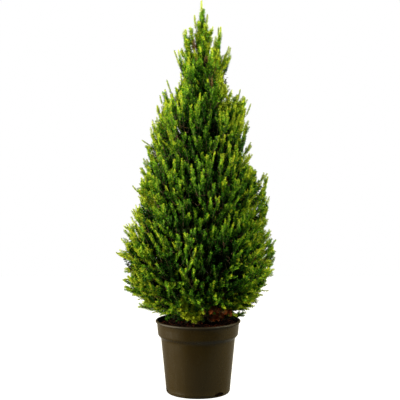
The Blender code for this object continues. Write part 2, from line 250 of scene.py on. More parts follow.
inside = [
    (COLLAR_TOP - POT_WALL, lip_z - 0.006),
    (COLLAR_FOOT - POT_WALL, COLLAR_FOOT_Z + 0.001),
    (WALL_TOP - POT_WALL, WALL_TOP_Z + 0.001),
    (WALL_FOOT - POT_WALL, WALL_FOOT_Z),
    (FOOT_RADIUS - POT_WALL, 0.0020),
]
bpy.ops.object.select_all(action="DESELECT")
bpy.ops.mesh.primitive_circle_add(vertices=POT_SIDES, radius=FOOT_RADIUS, fill_type="NGON")
pot = bpy.context.object
pot.name = "pot_shell"
bpy.ops.object.mode_set(mode="EDIT")
bpy.ops.mesh.select_all(action="SELECT")
turn_up(outside + inside)
bpy.ops.object.mode_set(mode="OBJECT")

for number in range(SLOT_COUNT):
    azimuth = math.radians(SLOT_FIRST_AZIMUTH + number * 360 / SLOT_COUNT)
    out = Vector((math.sin(azimuth), -math.cos(azimuth), 0))
    bpy.ops.object.select_all(action="DESELECT")
    bpy.ops.mesh.primitive_cylinder_add(vertices=24, radius=0.5, depth=1)
    cutter = bpy.context.object
    across = Vector((-out.y, out.x, 0))
    for vert in cutter.data.vertices:
        sideways, upwards, inwards = vert.co
        vert.co = (
            out * (WALL_FOOT + inwards * SLOT_CUT)
            + across * sideways * SLOT_WIDTH
            + Vector((0, 0, SLOT_Z + upwards * SLOT_HEIGHT))
        )
    slot_cut = pot.modifiers.new("drain_slot", "BOOLEAN")
    slot_cut.operation = "DIFFERENCE"
    slot_cut.object = cutter
    finish_shape(cutter)
    apply_modifiers(pot)
    bpy.data.objects.remove(cutter)
finish_shape(pot, 32)


def pattern(tree, kind, scale, stretch=(1, 1, 1), **settings):
    """The value of a noise or cell pattern on the object's own coordinates, stretched along its axes."""
    place = tree.nodes.new("ShaderNodeTexCoord")
    mapping = tree.nodes.new("ShaderNodeMapping")
    mapping.inputs["Scale"].default_value = stretch
    made = tree.nodes.new(kind)
    made.inputs["Scale"].default_value = scale
    for socket, value in settings.items():
        made.inputs[socket].default_value = value
    tree.links.new(place.outputs["Object"], mapping.inputs["Vector"])
    tree.links.new(mapping.outputs["Vector"], made.inputs["Vector"])
    return made.outputs[0]


def tint_by(tree, source, shader, stops):
    """Colours a shader along a 0 to 1 value, by (place, colour) stops."""
    ramp = tree.nodes.new("ShaderNodeValToRGB")
    marks = ramp.color_ramp.elements
    while len(marks) < len(stops):
        marks.new(0.5)
    for mark, (place, colour) in zip(marks, stops):
        mark.position = place
        mark.color = (*colour, 1)
    tree.links.new(source, ramp.inputs["Fac"])
    tree.links.new(ramp.outputs["Color"], shader.inputs["Base Color"])


def relief(tree, source, shader, strength, distance):
    """Bump from a value, on that shader."""
    bump = tree.nodes.new("ShaderNodeBump")
    bump.inputs["Strength"].default_value = strength
    bump.inputs["Distance"].default_value = distance
    tree.links.new(source, bump.inputs["Height"])
    tree.links.new(bump.outputs["Normal"], shader.inputs["Normal"])


pot_plastic, shader = plain_material("pot_plastic", POT_COLOURS[0], POT_ROUGHNESS[0], 0.17)
shader.inputs["Specular Tint"].default_value = (*POT_SHEEN, 1)
tree = pot_plastic.node_tree
flow = pattern(tree, "ShaderNodeTexNoise", 16, (1, 1, 0.12), Detail=3)
tint_by(tree, flow, shader, ((0.3, POT_COLOURS[0]), (0.75, POT_COLOURS[1])))
scuffs = pattern(tree, "ShaderNodeTexNoise", 60, (1, 1, 0.5), Detail=5)
height = tree.nodes.new("ShaderNodeSeparateXYZ")
tree.links.new(tree.nodes.new("ShaderNodeTexCoord").outputs["Object"], height.inputs["Vector"])
dull_range = [lip_z - depth for depth in LIP_DULL_DEPTHS]
roughness = tree.nodes.new("ShaderNodeMath")
tree.links.new(graded(tree, scuffs, (0.3, 0.7), POT_ROUGHNESS), roughness.inputs[0])
tree.links.new(graded(tree, height.outputs["Z"], dull_range, (0, LIP_DULLNESS)), roughness.inputs[1])
tree.links.new(roughness.outputs["Value"], shader.inputs["Roughness"])
grain = pattern(tree, "ShaderNodeTexNoise", 900, Detail=2)
relief(tree, grain, shader, 0.06, 0.0004)
wear(pot, pot_plastic)
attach(pot, "root")
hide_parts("pot")


# Compost: dark, damp peat pressed into the pot, its top loose with crumbs, chips of bark and
# fallen needles.

COMPOST_VOXEL = 0.0042
COMPOST_COLOURS = ((0.0018, 0.0006, 0.0006), (0.0070, 0.0024, 0.0020))
CRUMB_COLOURS = ((0.0030, 0.0009, 0.0008), (0.0066, 0.0020, 0.0016), (0.0135, 0.0044, 0.0030))
CHIP_COLOURS = ((0.034, 0.008, 0.004), (0.080, 0.019, 0.008))
FALLEN_COLOURS = ((0.064, 0.015, 0.005), (0.120, 0.031, 0.010))
CRUMB_COUNT = 2600
CRUMB_SIZE = (0.0008, 0.0034)
CHIP_COUNT = 110
CHIP_SIZE = (0.003, 0.008)
FALLEN_COUNT = 300
FALLEN_SIZE = (0.0026, 0.0044)
# Old bits gather at the front right: where, how far they spread and how many lie there, none
# further off than their reach.
LITTER = (0.052, -0.072)
LITTER_SPREAD = 0.017
LITTER_COUNT = 150
LITTER_REACH = 0.03
SOIL_RADIUS = COLLAR_TOP - POT_WALL - 0.003
SOIL_TOP = compost_high.z - 0.002
SOIL_LOOSE = 0.010
# The loose top swells and is lumpy, so many times a metre and so high, and rises to its edge.
SOIL_SWELL = (40, 0.0035)
SOIL_LUMPS = (190, 0.0016)
SOIL_RISES_FROM = 0.06
SOIL_SLOPE = 0.06
rng = np.random.default_rng(41)


def node_copy(name, node_names):
    """One object from copies of CAD nodes, their loose triangles merged."""
    work = bmesh.new()
    for node_name in node_names:
        work.from_mesh(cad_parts[node_name].data)
    bmesh.ops.remove_doubles(work, verts=work.verts, dist=0.00001)
    mesh = bpy.data.meshes.new(name)
    work.to_mesh(mesh)
    work.free()
    return placed(name, mesh)


def mesh_from_arrays(name, points, faces, smooth):
    """An object from arrays of points and of the corners of its faces."""
    mesh = bpy.data.meshes.new(name)
    mesh.from_pydata(points.tolist(), [], faces.tolist(), shade_flat=not smooth)
    return placed(name, mesh)


def unit(vectors):
    return vectors / np.maximum(np.linalg.norm(vectors, axis=-1, keepdims=True), 1e-9)


def random_turns(count):
    """Random rotation matrices."""
    a = unit(rng.normal(size=(count, 3)))
    b = unit(np.cross(a, rng.normal(size=(count, 3))))
    return np.stack([a, b, np.cross(a, b)], axis=1)


def strewn(name, colours, lump, lump_faces, places, sizes, dented, turns):
    """Small copies of one lump, each turned, scaled and dented, in one piece for each colour."""
    lump, lump_faces = np.asarray(lump), np.asarray(lump_faces)
    for number, colour in enumerate(colours):
        mine = slice(number, None, len(colours))
        count = len(places[mine])
        dents = 1 + dented * rng.uniform(-1, 1, (count, len(lump), 1))
        lumps = np.einsum("vj,njk->nvk", lump, turns[mine]) * dents * sizes[mine, None, None]
        faces = lump_faces[None] + (np.arange(count) * len(lump))[:, None, None]
        points = (places[mine, None] + lumps).reshape(-1, 3)
        faces = faces.reshape(-1, lump_faces.shape[1])
        bits = mesh_from_arrays(f"{name}_{number + 1}", points, faces, False)
        wear(bits, plain_material(f"{name}_{number + 1}", colour, 0.9, 0.05)[0])
        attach(bits, "root")
        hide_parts("compost")


def soil_height(x, y):
    """Height of the compost's loose top at that place."""
    per_m, high = SOIL_SWELL
    swell = noise.noise(Vector((x * per_m, y * per_m, 0))) * high
    per_m, high = SOIL_LUMPS
    lumps = noise.noise(Vector((x * per_m, y * per_m, 7))) * high
    edge = max(0.0, math.hypot(x, y) - SOIL_RISES_FROM) * SOIL_SLOPE
    return SOIL_TOP + swell + lumps + edge


def soil_places(count, lift, gathered=0):
    """Random places on the compost's top, some of them gathered where the litter lies."""
    radius = SOIL_RADIUS * np.sqrt(rng.uniform(0.015, 1, count))
    angle = rng.uniform(0, math.tau, count)
    x, y = radius * np.cos(angle), radius * np.sin(angle)
    strays = rng.normal(0, LITTER_SPREAD, (2, gathered))
    x[:gathered], y[:gathered] = strays.clip(-LITTER_REACH, LITTER_REACH)
    x[:gathered] += LITTER[0]
    y[:gathered] += LITTER[1]
    inward = np.minimum(1, SOIL_RADIUS / np.maximum(np.hypot(x, y), 0.001))
    x, y = x * inward, y * inward
    z = np.array([soil_height(a, b) for a, b in zip(x, y)]) + lift
    return np.stack([x, y, z], axis=1)


compost = node_copy("compost_plug", ["compost"])
grid = compost.modifiers.new("grid", "REMESH")
grid.mode = "VOXEL"
grid.voxel_size = COMPOST_VOXEL
apply_modifiers(compost)
for vert in compost.data.vertices:
    if vert.co.z > compost_high.z - SOIL_LOOSE:
        vert.co.z += soil_height(vert.co.x, vert.co.y) - compost_high.z + 0.001
finish_shape(compost, 60)

ball_points = np.array(((1, 0, 0), (0, 1, 0), (-1, 0, 0), (0, -1, 0), (0, 0, 0.9), (0, 0, -0.9)))
ball_faces = [(a, (a + 1) % 4, 4) for a in range(4)] + [((a + 1) % 4, a, 5) for a in range(4)]
crumb_places = soil_places(CRUMB_COUNT, 0.0004)
crumb_sizes = rng.uniform(*CRUMB_SIZE, CRUMB_COUNT) * rng.uniform(0.4, 1, CRUMB_COUNT)
strewn(
    "compost_crumbs", CRUMB_COLOURS, ball_points, ball_faces, crumb_places, crumb_sizes, 0.32,
    random_turns(CRUMB_COUNT),
)

chip_points = np.array([(x, y, z) for x in (-1, 1) for y in (-0.45, 0.5) for z in (-0.14, 0.12)])
chip_faces = ((0, 1, 3, 2), (4, 6, 7, 5), (0, 4, 5, 1), (2, 3, 7, 6), (0, 2, 6, 4), (1, 5, 7, 3))
chip_turns = random_turns(CHIP_COUNT)
chip_places = soil_places(CHIP_COUNT, 0.0014, LITTER_COUNT // 2)
chip_sizes = rng.uniform(*CHIP_SIZE, CHIP_COUNT) * 0.6
strewn("bark_chips", CHIP_COLOURS, chip_points, chip_faces, chip_places, chip_sizes, 0.3, chip_turns)

fallen_points = np.array(((-1, 0, 0), (0, 0.11, 0.05), (1, 0, 0), (0, -0.11, 0.05)))
spin, tip_up = rng.uniform(0, math.tau, FALLEN_COUNT), rng.normal(0, 0.25, FALLEN_COUNT)
along = np.stack([np.cos(spin), np.sin(spin), tip_up], axis=1)
beside = np.stack([-np.sin(spin), np.cos(spin), np.zeros(FALLEN_COUNT)], axis=1)
strewn(
    "fallen_needles", FALLEN_COLOURS, fallen_points, ((0, 1, 2), (0, 2, 3)),
    soil_places(FALLEN_COUNT, 0.0022, LITTER_COUNT), rng.uniform(*FALLEN_SIZE, FALLEN_COUNT), 0.2,
    np.stack([along, beside, np.cross(along, beside)], axis=1),
)

peat, shader = plain_material("peat", COMPOST_COLOURS[0], 0.9, 0.05)
tree = peat.node_tree
clods = pattern(tree, "ShaderNodeTexNoise", 220, Detail=6)
tint_by(tree, clods, shader, ((0.35, COMPOST_COLOURS[0]), (0.7, COMPOST_COLOURS[1])))
relief(tree, clods, shader, 0.7, 0.002)
wear(compost, peat)
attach(compost, "root")
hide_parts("compost")


# Trunk and boughs: young spruce wood under thin, scaly, grey-brown bark. The boughs leave the
# trunk in tiers and end where their sprays of foliage begin.

BARK_COLOURS = ((0.010, 0.005, 0.003), (0.028, 0.014, 0.008), (0.050, 0.028, 0.016))
BARK_RELIEF = 0.0011
# The plates of bark, so many round and up a metre, and how much of the relief is theirs.
PLATES_PER_M = (260, 90)
PLATE_SHARE = 0.7
CRACK_SHARPNESS = 1.6
BARK_LEVEL = 0.4
bough_names = sorted(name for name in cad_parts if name.startswith("bough_"))


def bark_grain(point):
    """How far the bark stands out at a point, from 0 to 1: upright plates with cracks between."""
    across, up = PLATES_PER_M
    stretched = Vector((point.x * across, point.y * across, point.z * up))
    near, far = noise.voronoi(stretched)[0][:2]
    plates = min(1.0, (far - near) * CRACK_SHARPNESS)
    return plates * PLATE_SHARE + 0.3 * noise.noise(stretched * 2.1)


def roughen(piece, depth):
    """Moves each vertex along its normal by the bark's relief."""
    moves = [vert.normal * depth * (bark_grain(vert.co) - BARK_LEVEL) for vert in piece.data.vertices]
    for vert, move in zip(piece.data.vertices, moves):
        vert.co += move


bark, shader = plain_material("spruce_bark", BARK_COLOURS[1], 0.85, 0.1)
tree = bark.node_tree
plates = pattern(tree, "ShaderNodeTexVoronoi", 150, (1, 1, 0.35))
mottle = pattern(tree, "ShaderNodeTexNoise", 90, (1, 1, 0.5), Detail=5)
tint_by(tree, mottle, shader, tuple(zip((0.3, 0.52, 0.75), BARK_COLOURS)))
relief(tree, plates, shader, 0.5, 0.0012)

for name, node_names, levels, depth in (
    ("trunk_bark", ["trunk"], 3, BARK_RELIEF),
    ("bough_bark", bough_names, 1, BARK_RELIEF * 0.5),
):
    limb = node_copy(name, node_names)
    take_up(limb)
    bpy.ops.object.mode_set(mode="EDIT")
    bpy.ops.mesh.select_all(action="SELECT")
    bpy.ops.mesh.tris_convert_to_quads()
    bpy.ops.object.mode_set(mode="OBJECT")
    finer = limb.modifiers.new("finer", "SUBSURF")
    finer.levels = levels
    finer.render_levels = levels
    apply_modifiers(limb)
    roughen(limb, depth)
    finish_shape(limb, 60)
    wear(limb, bark)
    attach(limb, "root")
    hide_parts(*node_names)


# Shoots: where each one ends. Every mass of foliage is dressed with shoots whose tips lie on its
# open side, and behind them come shells of older ones, darker with painted shade, which close the crown.

TIERS = ("skirt", "belly", "waist", "shoulder", "top")
KINDS = ("leafy", "wisp", "bare", "dead", "sprig")
LEAFY, WISP, BARE, DEAD, SPRIG = range(len(KINDS))
# The shoots on the masses and on the spires: the distance between their tips, how far those lie
# inside, how far that varies, the length of the shoots and how many fork from each.
ON_MASSES = (0.0185, -0.009, 0.011, (0.044, 0.074), 4)
ON_SPIRES = (0.0138, 0.000, 0.003, (0.044, 0.066), 3)
# The same for each shell behind them, from the outline inwards.
SHELLS = (
    (0.0185, 0.014, 0.005, (0.040, 0.056), 0),
    (0.0235, 0.034, 0.007, (0.042, 0.056), 0),
    (0.0265, 0.056, 0.009, (0.044, 0.058), 0),
    (0.0290, 0.085, 0.010, (0.046, 0.060), 0),
    (0.0320, 0.125, 0.012, (0.046, 0.060), 0),
)
HEIGHT_SQUEEZE = 0.56
CANDIDATES = 80000
SHELL_CANDIDATES = 20000
# A point of a mass is open where its normal turns this little inwards, and so much air is free
# along it or outwards with this rise.
LEAST_FACING = -0.35
OPEN_RISE = 0.35
OPEN_WAY = 0.040
OPEN_WAY_IN_SPIRES = 0.012
LOWEST_TIP = 0.215
# Beyond the pot nothing hangs lower than this, nor below the skirt's slope outwards.
LIP_CLEAR = 0.202
PAST_LIP = 0.085
SKIRT_FOOT = 0.110
SKIRT_SLOPE = 0.35
# Shoots low on the plant and near its middle are darker with painted shade, the shade under the skirt.
SHADED_BELOW = ((0.222, 0.20), (0.265, 0.0))
SHADED_WITHIN = ((0.120, 1.0), (0.170, 0.0))
# They are lighter with painted light on the two lit sides, left and right, darker with painted shade
# on the front and back of the spires, and lighter and darker in patches.
PAINTED_LIGHT_LEFT = ((0.45, 1.4), (0.66, 0.60))
PAINTED_LIGHT_RIGHT = ((0.45, 0.85), (0.62, 1.4))
SPIRES_PAINTED_SHADE = 0.45
PATCHES = 0.5
PATCHES_PER_M = 17
# Hollows in the front of the crown: across, up and radius. The shoots in them lie deeper and are
# darkened with painted shade.
HOLLOWS = (
    (0.056, 0.399, 0.028), (-0.002, 0.285, 0.013), (-0.078, 0.364, 0.021), (0.015, 0.338, 0.016),
    (0.103, 0.301, 0.016), (-0.024, 0.521, 0.016), (0.008, 0.437, 0.014), (-0.063, 0.456, 0.015),
    (0.047, 0.481, 0.013), (0.015, 0.717, 0.014), (0.017, 0.662, 0.012), (0.030, 0.598, 0.012),
    (0.015, 0.551, 0.013), (-0.095, 0.276, 0.014), (-0.014, 0.625, 0.012), (0.045, 0.300, 0.008),
    (0.060, 0.368, 0.022), (0.005, 0.800, 0.011), (-0.022, 0.850, 0.007), (0.043, 0.806, 0.007),
)
HOLLOW_EDGE = 1.6
HOLLOW_SQUEEZE = 0.8
HOLLOW_FRONT = -0.02
HOLLOW_SHADE = 2.0
HOLLOW_DEPTH = 0.016
# How far from the trunk the spires' shoots reach, by height, and the least and the most of that
# which one of them takes up.
SPIRE_REACH_SHARES = (0.86, 1.0)
SPIRE_REACH = (
    (0.760, 0.090), (0.785, 0.072), (0.815, 0.052), (0.860, 0.050), (0.900, 0.044), (0.950, 0.026),
)
# How far the points that fill the grooves lie inside the outline, and how far that varies.
FILLED_INSIDE = (0.004, 0.004)
SHELL_LEAST = 0.010
SHELL_TOP = 0.875
# The outline is measured at these heights and in this many directions. Grooves narrower than so
# many steps up and round are bridged, wider ones among the spires.
OUTLINE_HEIGHTS = np.arange(0.200, 0.960, 0.008)
OUTLINE_TURNS = 90
OUTLINE_FAR = 0.40
GROOVE_STEPS = (3, 3)
SPIRE_GROOVE_STEPS = (2, 9)
SPIRES_FROM = 0.77
FILLED_TOP = 0.90
# How steeply shoots rise, in degrees, at each height.
RISE = (
    (0.19, 0), (0.23, 14), (0.28, 32), (0.36, 50), (0.50, 65),
    (0.65, 73), (0.78, 78), (0.90, 83), (1.01, 86),
)
RISE_SCATTER = ((0.22, 19), (0.36, 9), (0.85, 4))
TURN_SCATTER = 24
FOLLOW_SURFACE = 0.22
FOLLOW_UNDERSIDE = 0.7
FOLLOW_BY_HEIGHT = ((0.75, 1.0), (0.85, 0.2))
SPIRE_TIP_CLEAR = 0.014
SPIRE_SHOOT = 0.060
SPIRE_SIDES = 3
LEADER_SIDES = 16
LEADER_STRAIGHT = 0.1
# The side shoots of a spire follow one another this far down and round, in radians, and lean out.
SIDE_STEP = 0.0072
SIDE_TURN = 2.4
SIDE_LEAN = 0.16
SIDE_LENGTHS = (0.030, 0.042)
# A wisp starts this far inside the shoot that it grows from.
WISP_OVERLAP = 0.004
# The side shoots of the leader start this far down and out from it.
LEADER_WIDTHS = ((0.0, 0.001), (0.020, 0.005), (0.040, 0.008), (0.060, 0.011), (0.120, 0.016))
LEADER_WISP = 0.018
WISP_SHARE = 0.055
WISP_LENGTH = (0.010, 0.020)
WISP_SCATTER = 0.12
BARE_SHARE = ((0.80, 0.004), (0.90, 0.04))
rng = np.random.default_rng(7)

mass_names = sorted(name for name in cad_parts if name.startswith("mass_"))


def tier_of(name):
    """0 for the lowest tier of masses to 4 for the spires and the leader."""
    word = name.split("_")[1]
    return TIERS.index(word) if word in TIERS else len(TIERS) - 1


def triangles_of(node_name):
    """A node's triangles as an array of corners."""
    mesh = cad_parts[node_name].data
    mesh.calc_loop_triangles()
    corners = [[tuple(mesh.vertices[i].co) for i in face.vertices] for face in mesh.loop_triangles]
    return np.array(corners)


mass_triangles = [triangles_of(name) for name in mass_names]
owners = np.repeat(np.arange(len(mass_names)), [len(t) for t in mass_triangles])
all_triangles = np.concatenate(mass_triangles)
crown_tree = BVHTree.FromPolygons(
    [Vector(p) for p in all_triangles.reshape(-1, 3)],
    [(i, i + 1, i + 2) for i in range(0, len(all_triangles) * 3, 3)],
)
trunk_points = triangles_of("trunk").reshape(-1, 3)
trunk_levels = np.linspace(trunk_points[:, 2].min(), trunk_points[:, 2].max(), 40)
trunk_line = np.array([
    trunk_points[np.abs(trunk_points[:, 2] - z).argsort()[:12]].mean(axis=0) for z in trunk_levels
])


def trunk_at(heights):
    """Points on the trunk's centre line at those heights."""
    x, y = (np.interp(heights, trunk_line[:, 2], trunk_line[:, axis]) for axis in (0, 1))
    return np.stack([x, y, np.asarray(heights, dtype=float)], axis=-1)


mass_corners = [triangles.reshape(-1, 3) for triangles in mass_triangles]
mass_middles = np.array([corners.mean(axis=0) for corners in mass_corners])
mass_tops = np.array([corners[corners[:, 2].argmax()] for corners in mass_corners])
in_spire = np.array([tier_of(name) == TIERS.index("top") for name in mass_names])


def surface_points(count):
    """Random points on the crown's open side: the points, their normals and their masses."""
    edge_a = all_triangles[:, 1] - all_triangles[:, 0]
    edge_b = all_triangles[:, 2] - all_triangles[:, 0]
    crosses = np.cross(edge_a, edge_b)
    areas = np.linalg.norm(crosses, axis=1)
    picks = rng.choice(len(areas), count, p=areas / areas.sum())
    u, v = rng.random((2, count, 1))
    fold = u + v > 1
    u, v = np.where(fold, 1 - u, u), np.where(fold, 1 - v, v)
    points = all_triangles[picks, 0] + edge_a[picks] * u + edge_b[picks] * v
    normals = unit(crosses)[picks]
    masses = owners[picks]
    hubs = np.where(in_spire[masses][:, None], mass_middles[masses], trunk_at(points[:, 2]))
    out = unit((points - hubs) * (1, 1, 0))
    facing = (normals * out).sum(axis=1) > LEAST_FACING
    is_open = np.zeros(count, dtype=bool)
    for i in np.nonzero(facing)[0]:
        start = Vector(points[i] + normals[i] * 0.001)
        free = OPEN_WAY_IN_SPIRES if in_spire[masses[i]] else OPEN_WAY
        for way in (normals[i], out[i] + (0, 0, OPEN_RISE)):
            if crown_tree.ray_cast(start, Vector(way).normalized(), free)[0] is None:
                is_open[i] = True
    keep = is_open & (points[:, 2] > LOWEST_TIP)
    keep &= ~in_spire[masses] | (mass_tops[masses, 2] - points[:, 2] > SPIRE_TIP_CLEAR)
    return points[keep], normals[keep], masses[keep]


def bridged(reach, steps):
    """An outline whose grooves are filled up to so many steps up and round."""
    for choose in (np.maximum, np.minimum):
        for axis, step in enumerate(steps):
            edge = [(0, 0), (0, 0)]
            edge[axis] = (step, step)
            padded = np.pad(reach, edge, mode="edge" if axis == 0 else "wrap")
            windows = np.lib.stride_tricks.sliding_window_view(padded, 2 * step + 1, axis=axis)
            reach = choose.reduce(windows, axis=-1)
    return reach


def crown_outline():
    """How far the crown reaches from the trunk, by height and azimuth, its grooves bridged."""
    reach = np.zeros((len(OUTLINE_HEIGHTS), OUTLINE_TURNS))
    for row, axis in enumerate(trunk_at(OUTLINE_HEIGHTS)):
        for column in range(OUTLINE_TURNS):
            azimuth = math.tau * column / OUTLINE_TURNS
            out = Vector((math.cos(azimuth), math.sin(azimuth), 0))
            distance = crown_tree.ray_cast(Vector(axis) + out * OUTLINE_FAR, -out, OUTLINE_FAR)[3]
            reach[row, column] = OUTLINE_FAR - (distance or OUTLINE_FAR)
    low, high = bridged(reach, GROOVE_STEPS), bridged(reach, SPIRE_GROOVE_STEPS)
    return np.where(OUTLINE_HEIGHTS[:, None] > SPIRES_FROM, high, low)


def mass_near(point):
    """The number of the mass of foliage nearest to a point."""
    return owners[crown_tree.find_nearest(Vector(point))[2]]


def shell_points(count, inside, varies, top):
    """Random points on a shell that far inside the crown's outline, seams and all."""
    rows = rng.uniform(0, np.searchsorted(OUTLINE_HEIGHTS, top) - 1.01, count)
    columns = rng.uniform(0, OUTLINE_TURNS, count)
    r, c = rows.astype(int), columns.astype(int)
    a, b = (rows - r), (columns - c)
    after = (c + 1) % OUTLINE_TURNS
    reach = (
        (outline[r, c] * (1 - b) + outline[r, after] * b) * (1 - a)
        + (outline[r + 1, c] * (1 - b) + outline[r + 1, after] * b) * a
    )
    radius = reach - inside - np.abs(rng.normal(0, varies, count))
    keep = (radius > SHELL_LEAST) & (rng.random(count) < radius / outline.max())
    azimuth = columns[keep] * math.tau / OUTLINE_TURNS
    out = np.stack([np.cos(azimuth), np.sin(azimuth), np.zeros(len(azimuth))], axis=1)
    heights = np.interp(rows[keep], np.arange(len(OUTLINE_HEIGHTS)), OUTLINE_HEIGHTS)
    points = trunk_at(heights) + out * radius[keep, None]
    return points, out, np.array([mass_near(point) for point in points])


outline = crown_outline()


def spread_out(points, spacing):
    """Indices of points no closer than spacing to one another, heights counting for less."""
    scaled = points * (1, 1, HEIGHT_SQUEEZE) / spacing
    cells, kept = {}, []
    for i, place in enumerate(scaled):
        cell = tuple(np.floor(place).astype(int))
        near = [
            j
            for dx in (-1, 0, 1) for dy in (-1, 0, 1) for dz in (-1, 0, 1)
            for j in cells.get((cell[0] + dx, cell[1] + dy, cell[2] + dz), ())
        ]
        if all(((scaled[j] - place) ** 2).sum() >= 1 for j in near):
            cells.setdefault(cell, []).append(i)
            kept.append(i)
    return np.array(kept)


def graph(points, at):
    """What a graph, given by its points, says there."""
    return np.interp(at, *zip(*points))


def shoot_ways(tips, normals):
    """The direction of a shoot that ends at each tip: outwards, and steeper the higher it is."""
    out = (tips - trunk_at(tips[:, 2]))[:, :2]
    azimuth = np.arctan2(out[:, 1], out[:, 0]) + np.radians(rng.normal(0, TURN_SCATTER, len(tips)))
    scatter = graph(RISE_SCATTER, tips[:, 2]) * rng.normal(0, 1, len(tips))
    rise = np.radians(graph(RISE, tips[:, 2]) + scatter)
    rise = np.clip(rise, math.radians(-30), math.radians(89))
    flat = np.cos(rise)
    ways = np.stack([np.cos(azimuth) * flat, np.sin(azimuth) * flat, np.sin(rise)], axis=1)
    follow = FOLLOW_SURFACE + FOLLOW_UNDERSIDE * np.maximum(0, -normals[:, 2])
    follow *= graph(FOLLOW_BY_HEIGHT, tips[:, 2])
    return unit(ways + normals * follow[:, None])


def shoot_group(tips, ways, lengths, masses, layer, kind, forks, aging_and_shade=0):
    """Shoots as a dictionary of arrays; what isn't given for each is the same for all."""
    made = {"tip": np.asarray(tips), "way": unit(np.asarray(ways))}
    for key, values in (("length", lengths), ("aging_and_shade", aging_and_shade)):
        made[key] = np.broadcast_to(values, len(tips)).astype(float)
    for key, values in (("mass", masses), ("layer", layer), ("kind", kind), ("forks", forks)):
        made[key] = np.broadcast_to(values, len(tips)).astype(int)
    return made


def joined(groups):
    return {key: np.concatenate([group[key] for group in groups]) for key in groups[0]}


groups = []
all_points, all_normals, all_masses = surface_points(CANDIDATES)
grooves = shell_points(SHELL_CANDIDATES, *FILLED_INSIDE, FILLED_TOP)
surface_count = len(all_points)
all_points, all_normals, all_masses = (
    np.concatenate(pair) for pair in zip((all_points, all_normals, all_masses), grooves)
)
for on_spires, (spacing, inside, varies, lengths, forks) in ((False, ON_MASSES), (True, ON_SPIRES)):
    order = rng.permutation(np.nonzero(in_spire[all_masses] == on_spires)[0])
    order = np.concatenate([order[order < surface_count], order[order >= surface_count]])
    chosen = order[spread_out(all_points[order], spacing)]
    normals = all_normals[chosen]
    depth = inside + np.abs(rng.normal(0, varies, len(chosen)))
    tips = all_points[chosen] - normals * depth[:, None]
    if on_spires:
        axis = trunk_at(tips[:, 2])
        radius = np.linalg.norm(tips - axis, axis=1)
        limit = graph(SPIRE_REACH, tips[:, 2]) * rng.uniform(*SPIRE_REACH_SHARES, len(tips))
        tips = axis + (tips - axis) * np.minimum(1, limit / radius)[:, None]
    bare = rng.random(len(tips)) < graph(BARE_SHARE, tips[:, 2])
    # Painted shade low down and near the middle, painted light on the two sides, painted shade on the
    # spires' front and back and in the front hollows, and random lighter and darker patches.
    aging_and_shade = graph(SHADED_BELOW, tips[:, 2])
    aging_and_shade *= graph(SHADED_WITHIN, np.hypot(tips[:, 0], tips[:, 1]))
    out = unit((tips - trunk_at(tips[:, 2])) * (1, 1, 0))
    aging_and_shade += PATCHES * np.array([noise.noise(Vector(tip) * PATCHES_PER_M) for tip in tips])
    painted_light = [graph(side, tips[:, 2]) for side in (PAINTED_LIGHT_LEFT, PAINTED_LIGHT_RIGHT)]
    aging_and_shade -= np.where(out[:, 0] < 0, *painted_light) * np.abs(out[:, 0]) ** 3
    aging_and_shade += SPIRES_PAINTED_SHADE * on_spires * (1 - out[:, 0] ** 2)
    for x, z, radius in HOLLOWS:
        away = np.hypot(tips[:, 0] - x, (tips[:, 2] - z) * HOLLOW_SQUEEZE) / radius
        deep = np.clip(HOLLOW_EDGE - away, 0, 1) * (tips[:, 1] < HOLLOW_FRONT)
        aging_and_shade += HOLLOW_SHADE * deep
        tips -= out * (HOLLOW_DEPTH * deep)[:, None]
    groups.append(shoot_group(
        tips, shoot_ways(tips, normals), rng.uniform(*lengths, len(tips)), all_masses[chosen],
        0, np.where(bare, BARE, LEAFY), forks, aging_and_shade,
    ))
outer = joined(groups)
for number, (spacing, inside, varies, lengths, forks) in enumerate(SHELLS):
    points, normals, masses = shell_points(SHELL_CANDIDATES, inside, varies, SHELL_TOP)
    order = rng.permutation(len(points))
    chosen = order[spread_out(points[order], spacing)]
    tips, normals = points[chosen], normals[chosen]
    groups.append(shoot_group(
        tips, shoot_ways(tips, normals), rng.uniform(*lengths, len(tips)), masses[chosen],
        number + 1, LEAFY, forks,
    ))

# The leader and each spire end in one straight shoot, thinner towards its bud.
for mass in np.nonzero(in_spire)[0]:
    leads = mass_names[mass] == "mass_leader"
    top = mass_tops[mass]
    way = unit(top - (trunk_at(top[2] - LEADER_STRAIGHT) if leads else mass_middles[mass]))
    wisp = LEADER_WISP if leads else rng.uniform(*WISP_LENGTH)
    groups.append(shoot_group([top - way * wisp], [way], SPIRE_SHOOT, mass, 0, LEAFY, 0))
    groups.append(shoot_group([top], [way], wisp + WISP_OVERLAP, mass, 0, WISP, 0))
    for number in range(LEADER_SIDES if leads else SPIRE_SIDES):
        azimuth = mass + number * SIDE_TURN
        side = np.array((math.cos(azimuth), math.sin(azimuth), 0))
        down = wisp + WISP_OVERLAP + SIDE_STEP * number
        tip = top - way * down + side * graph(LEADER_WIDTHS, down)
        length = rng.uniform(*SIDE_LENGTHS)
        groups.append(shoot_group([tip], [way + side * SIDE_LEAN], length, mass, 0, LEAFY, 0))

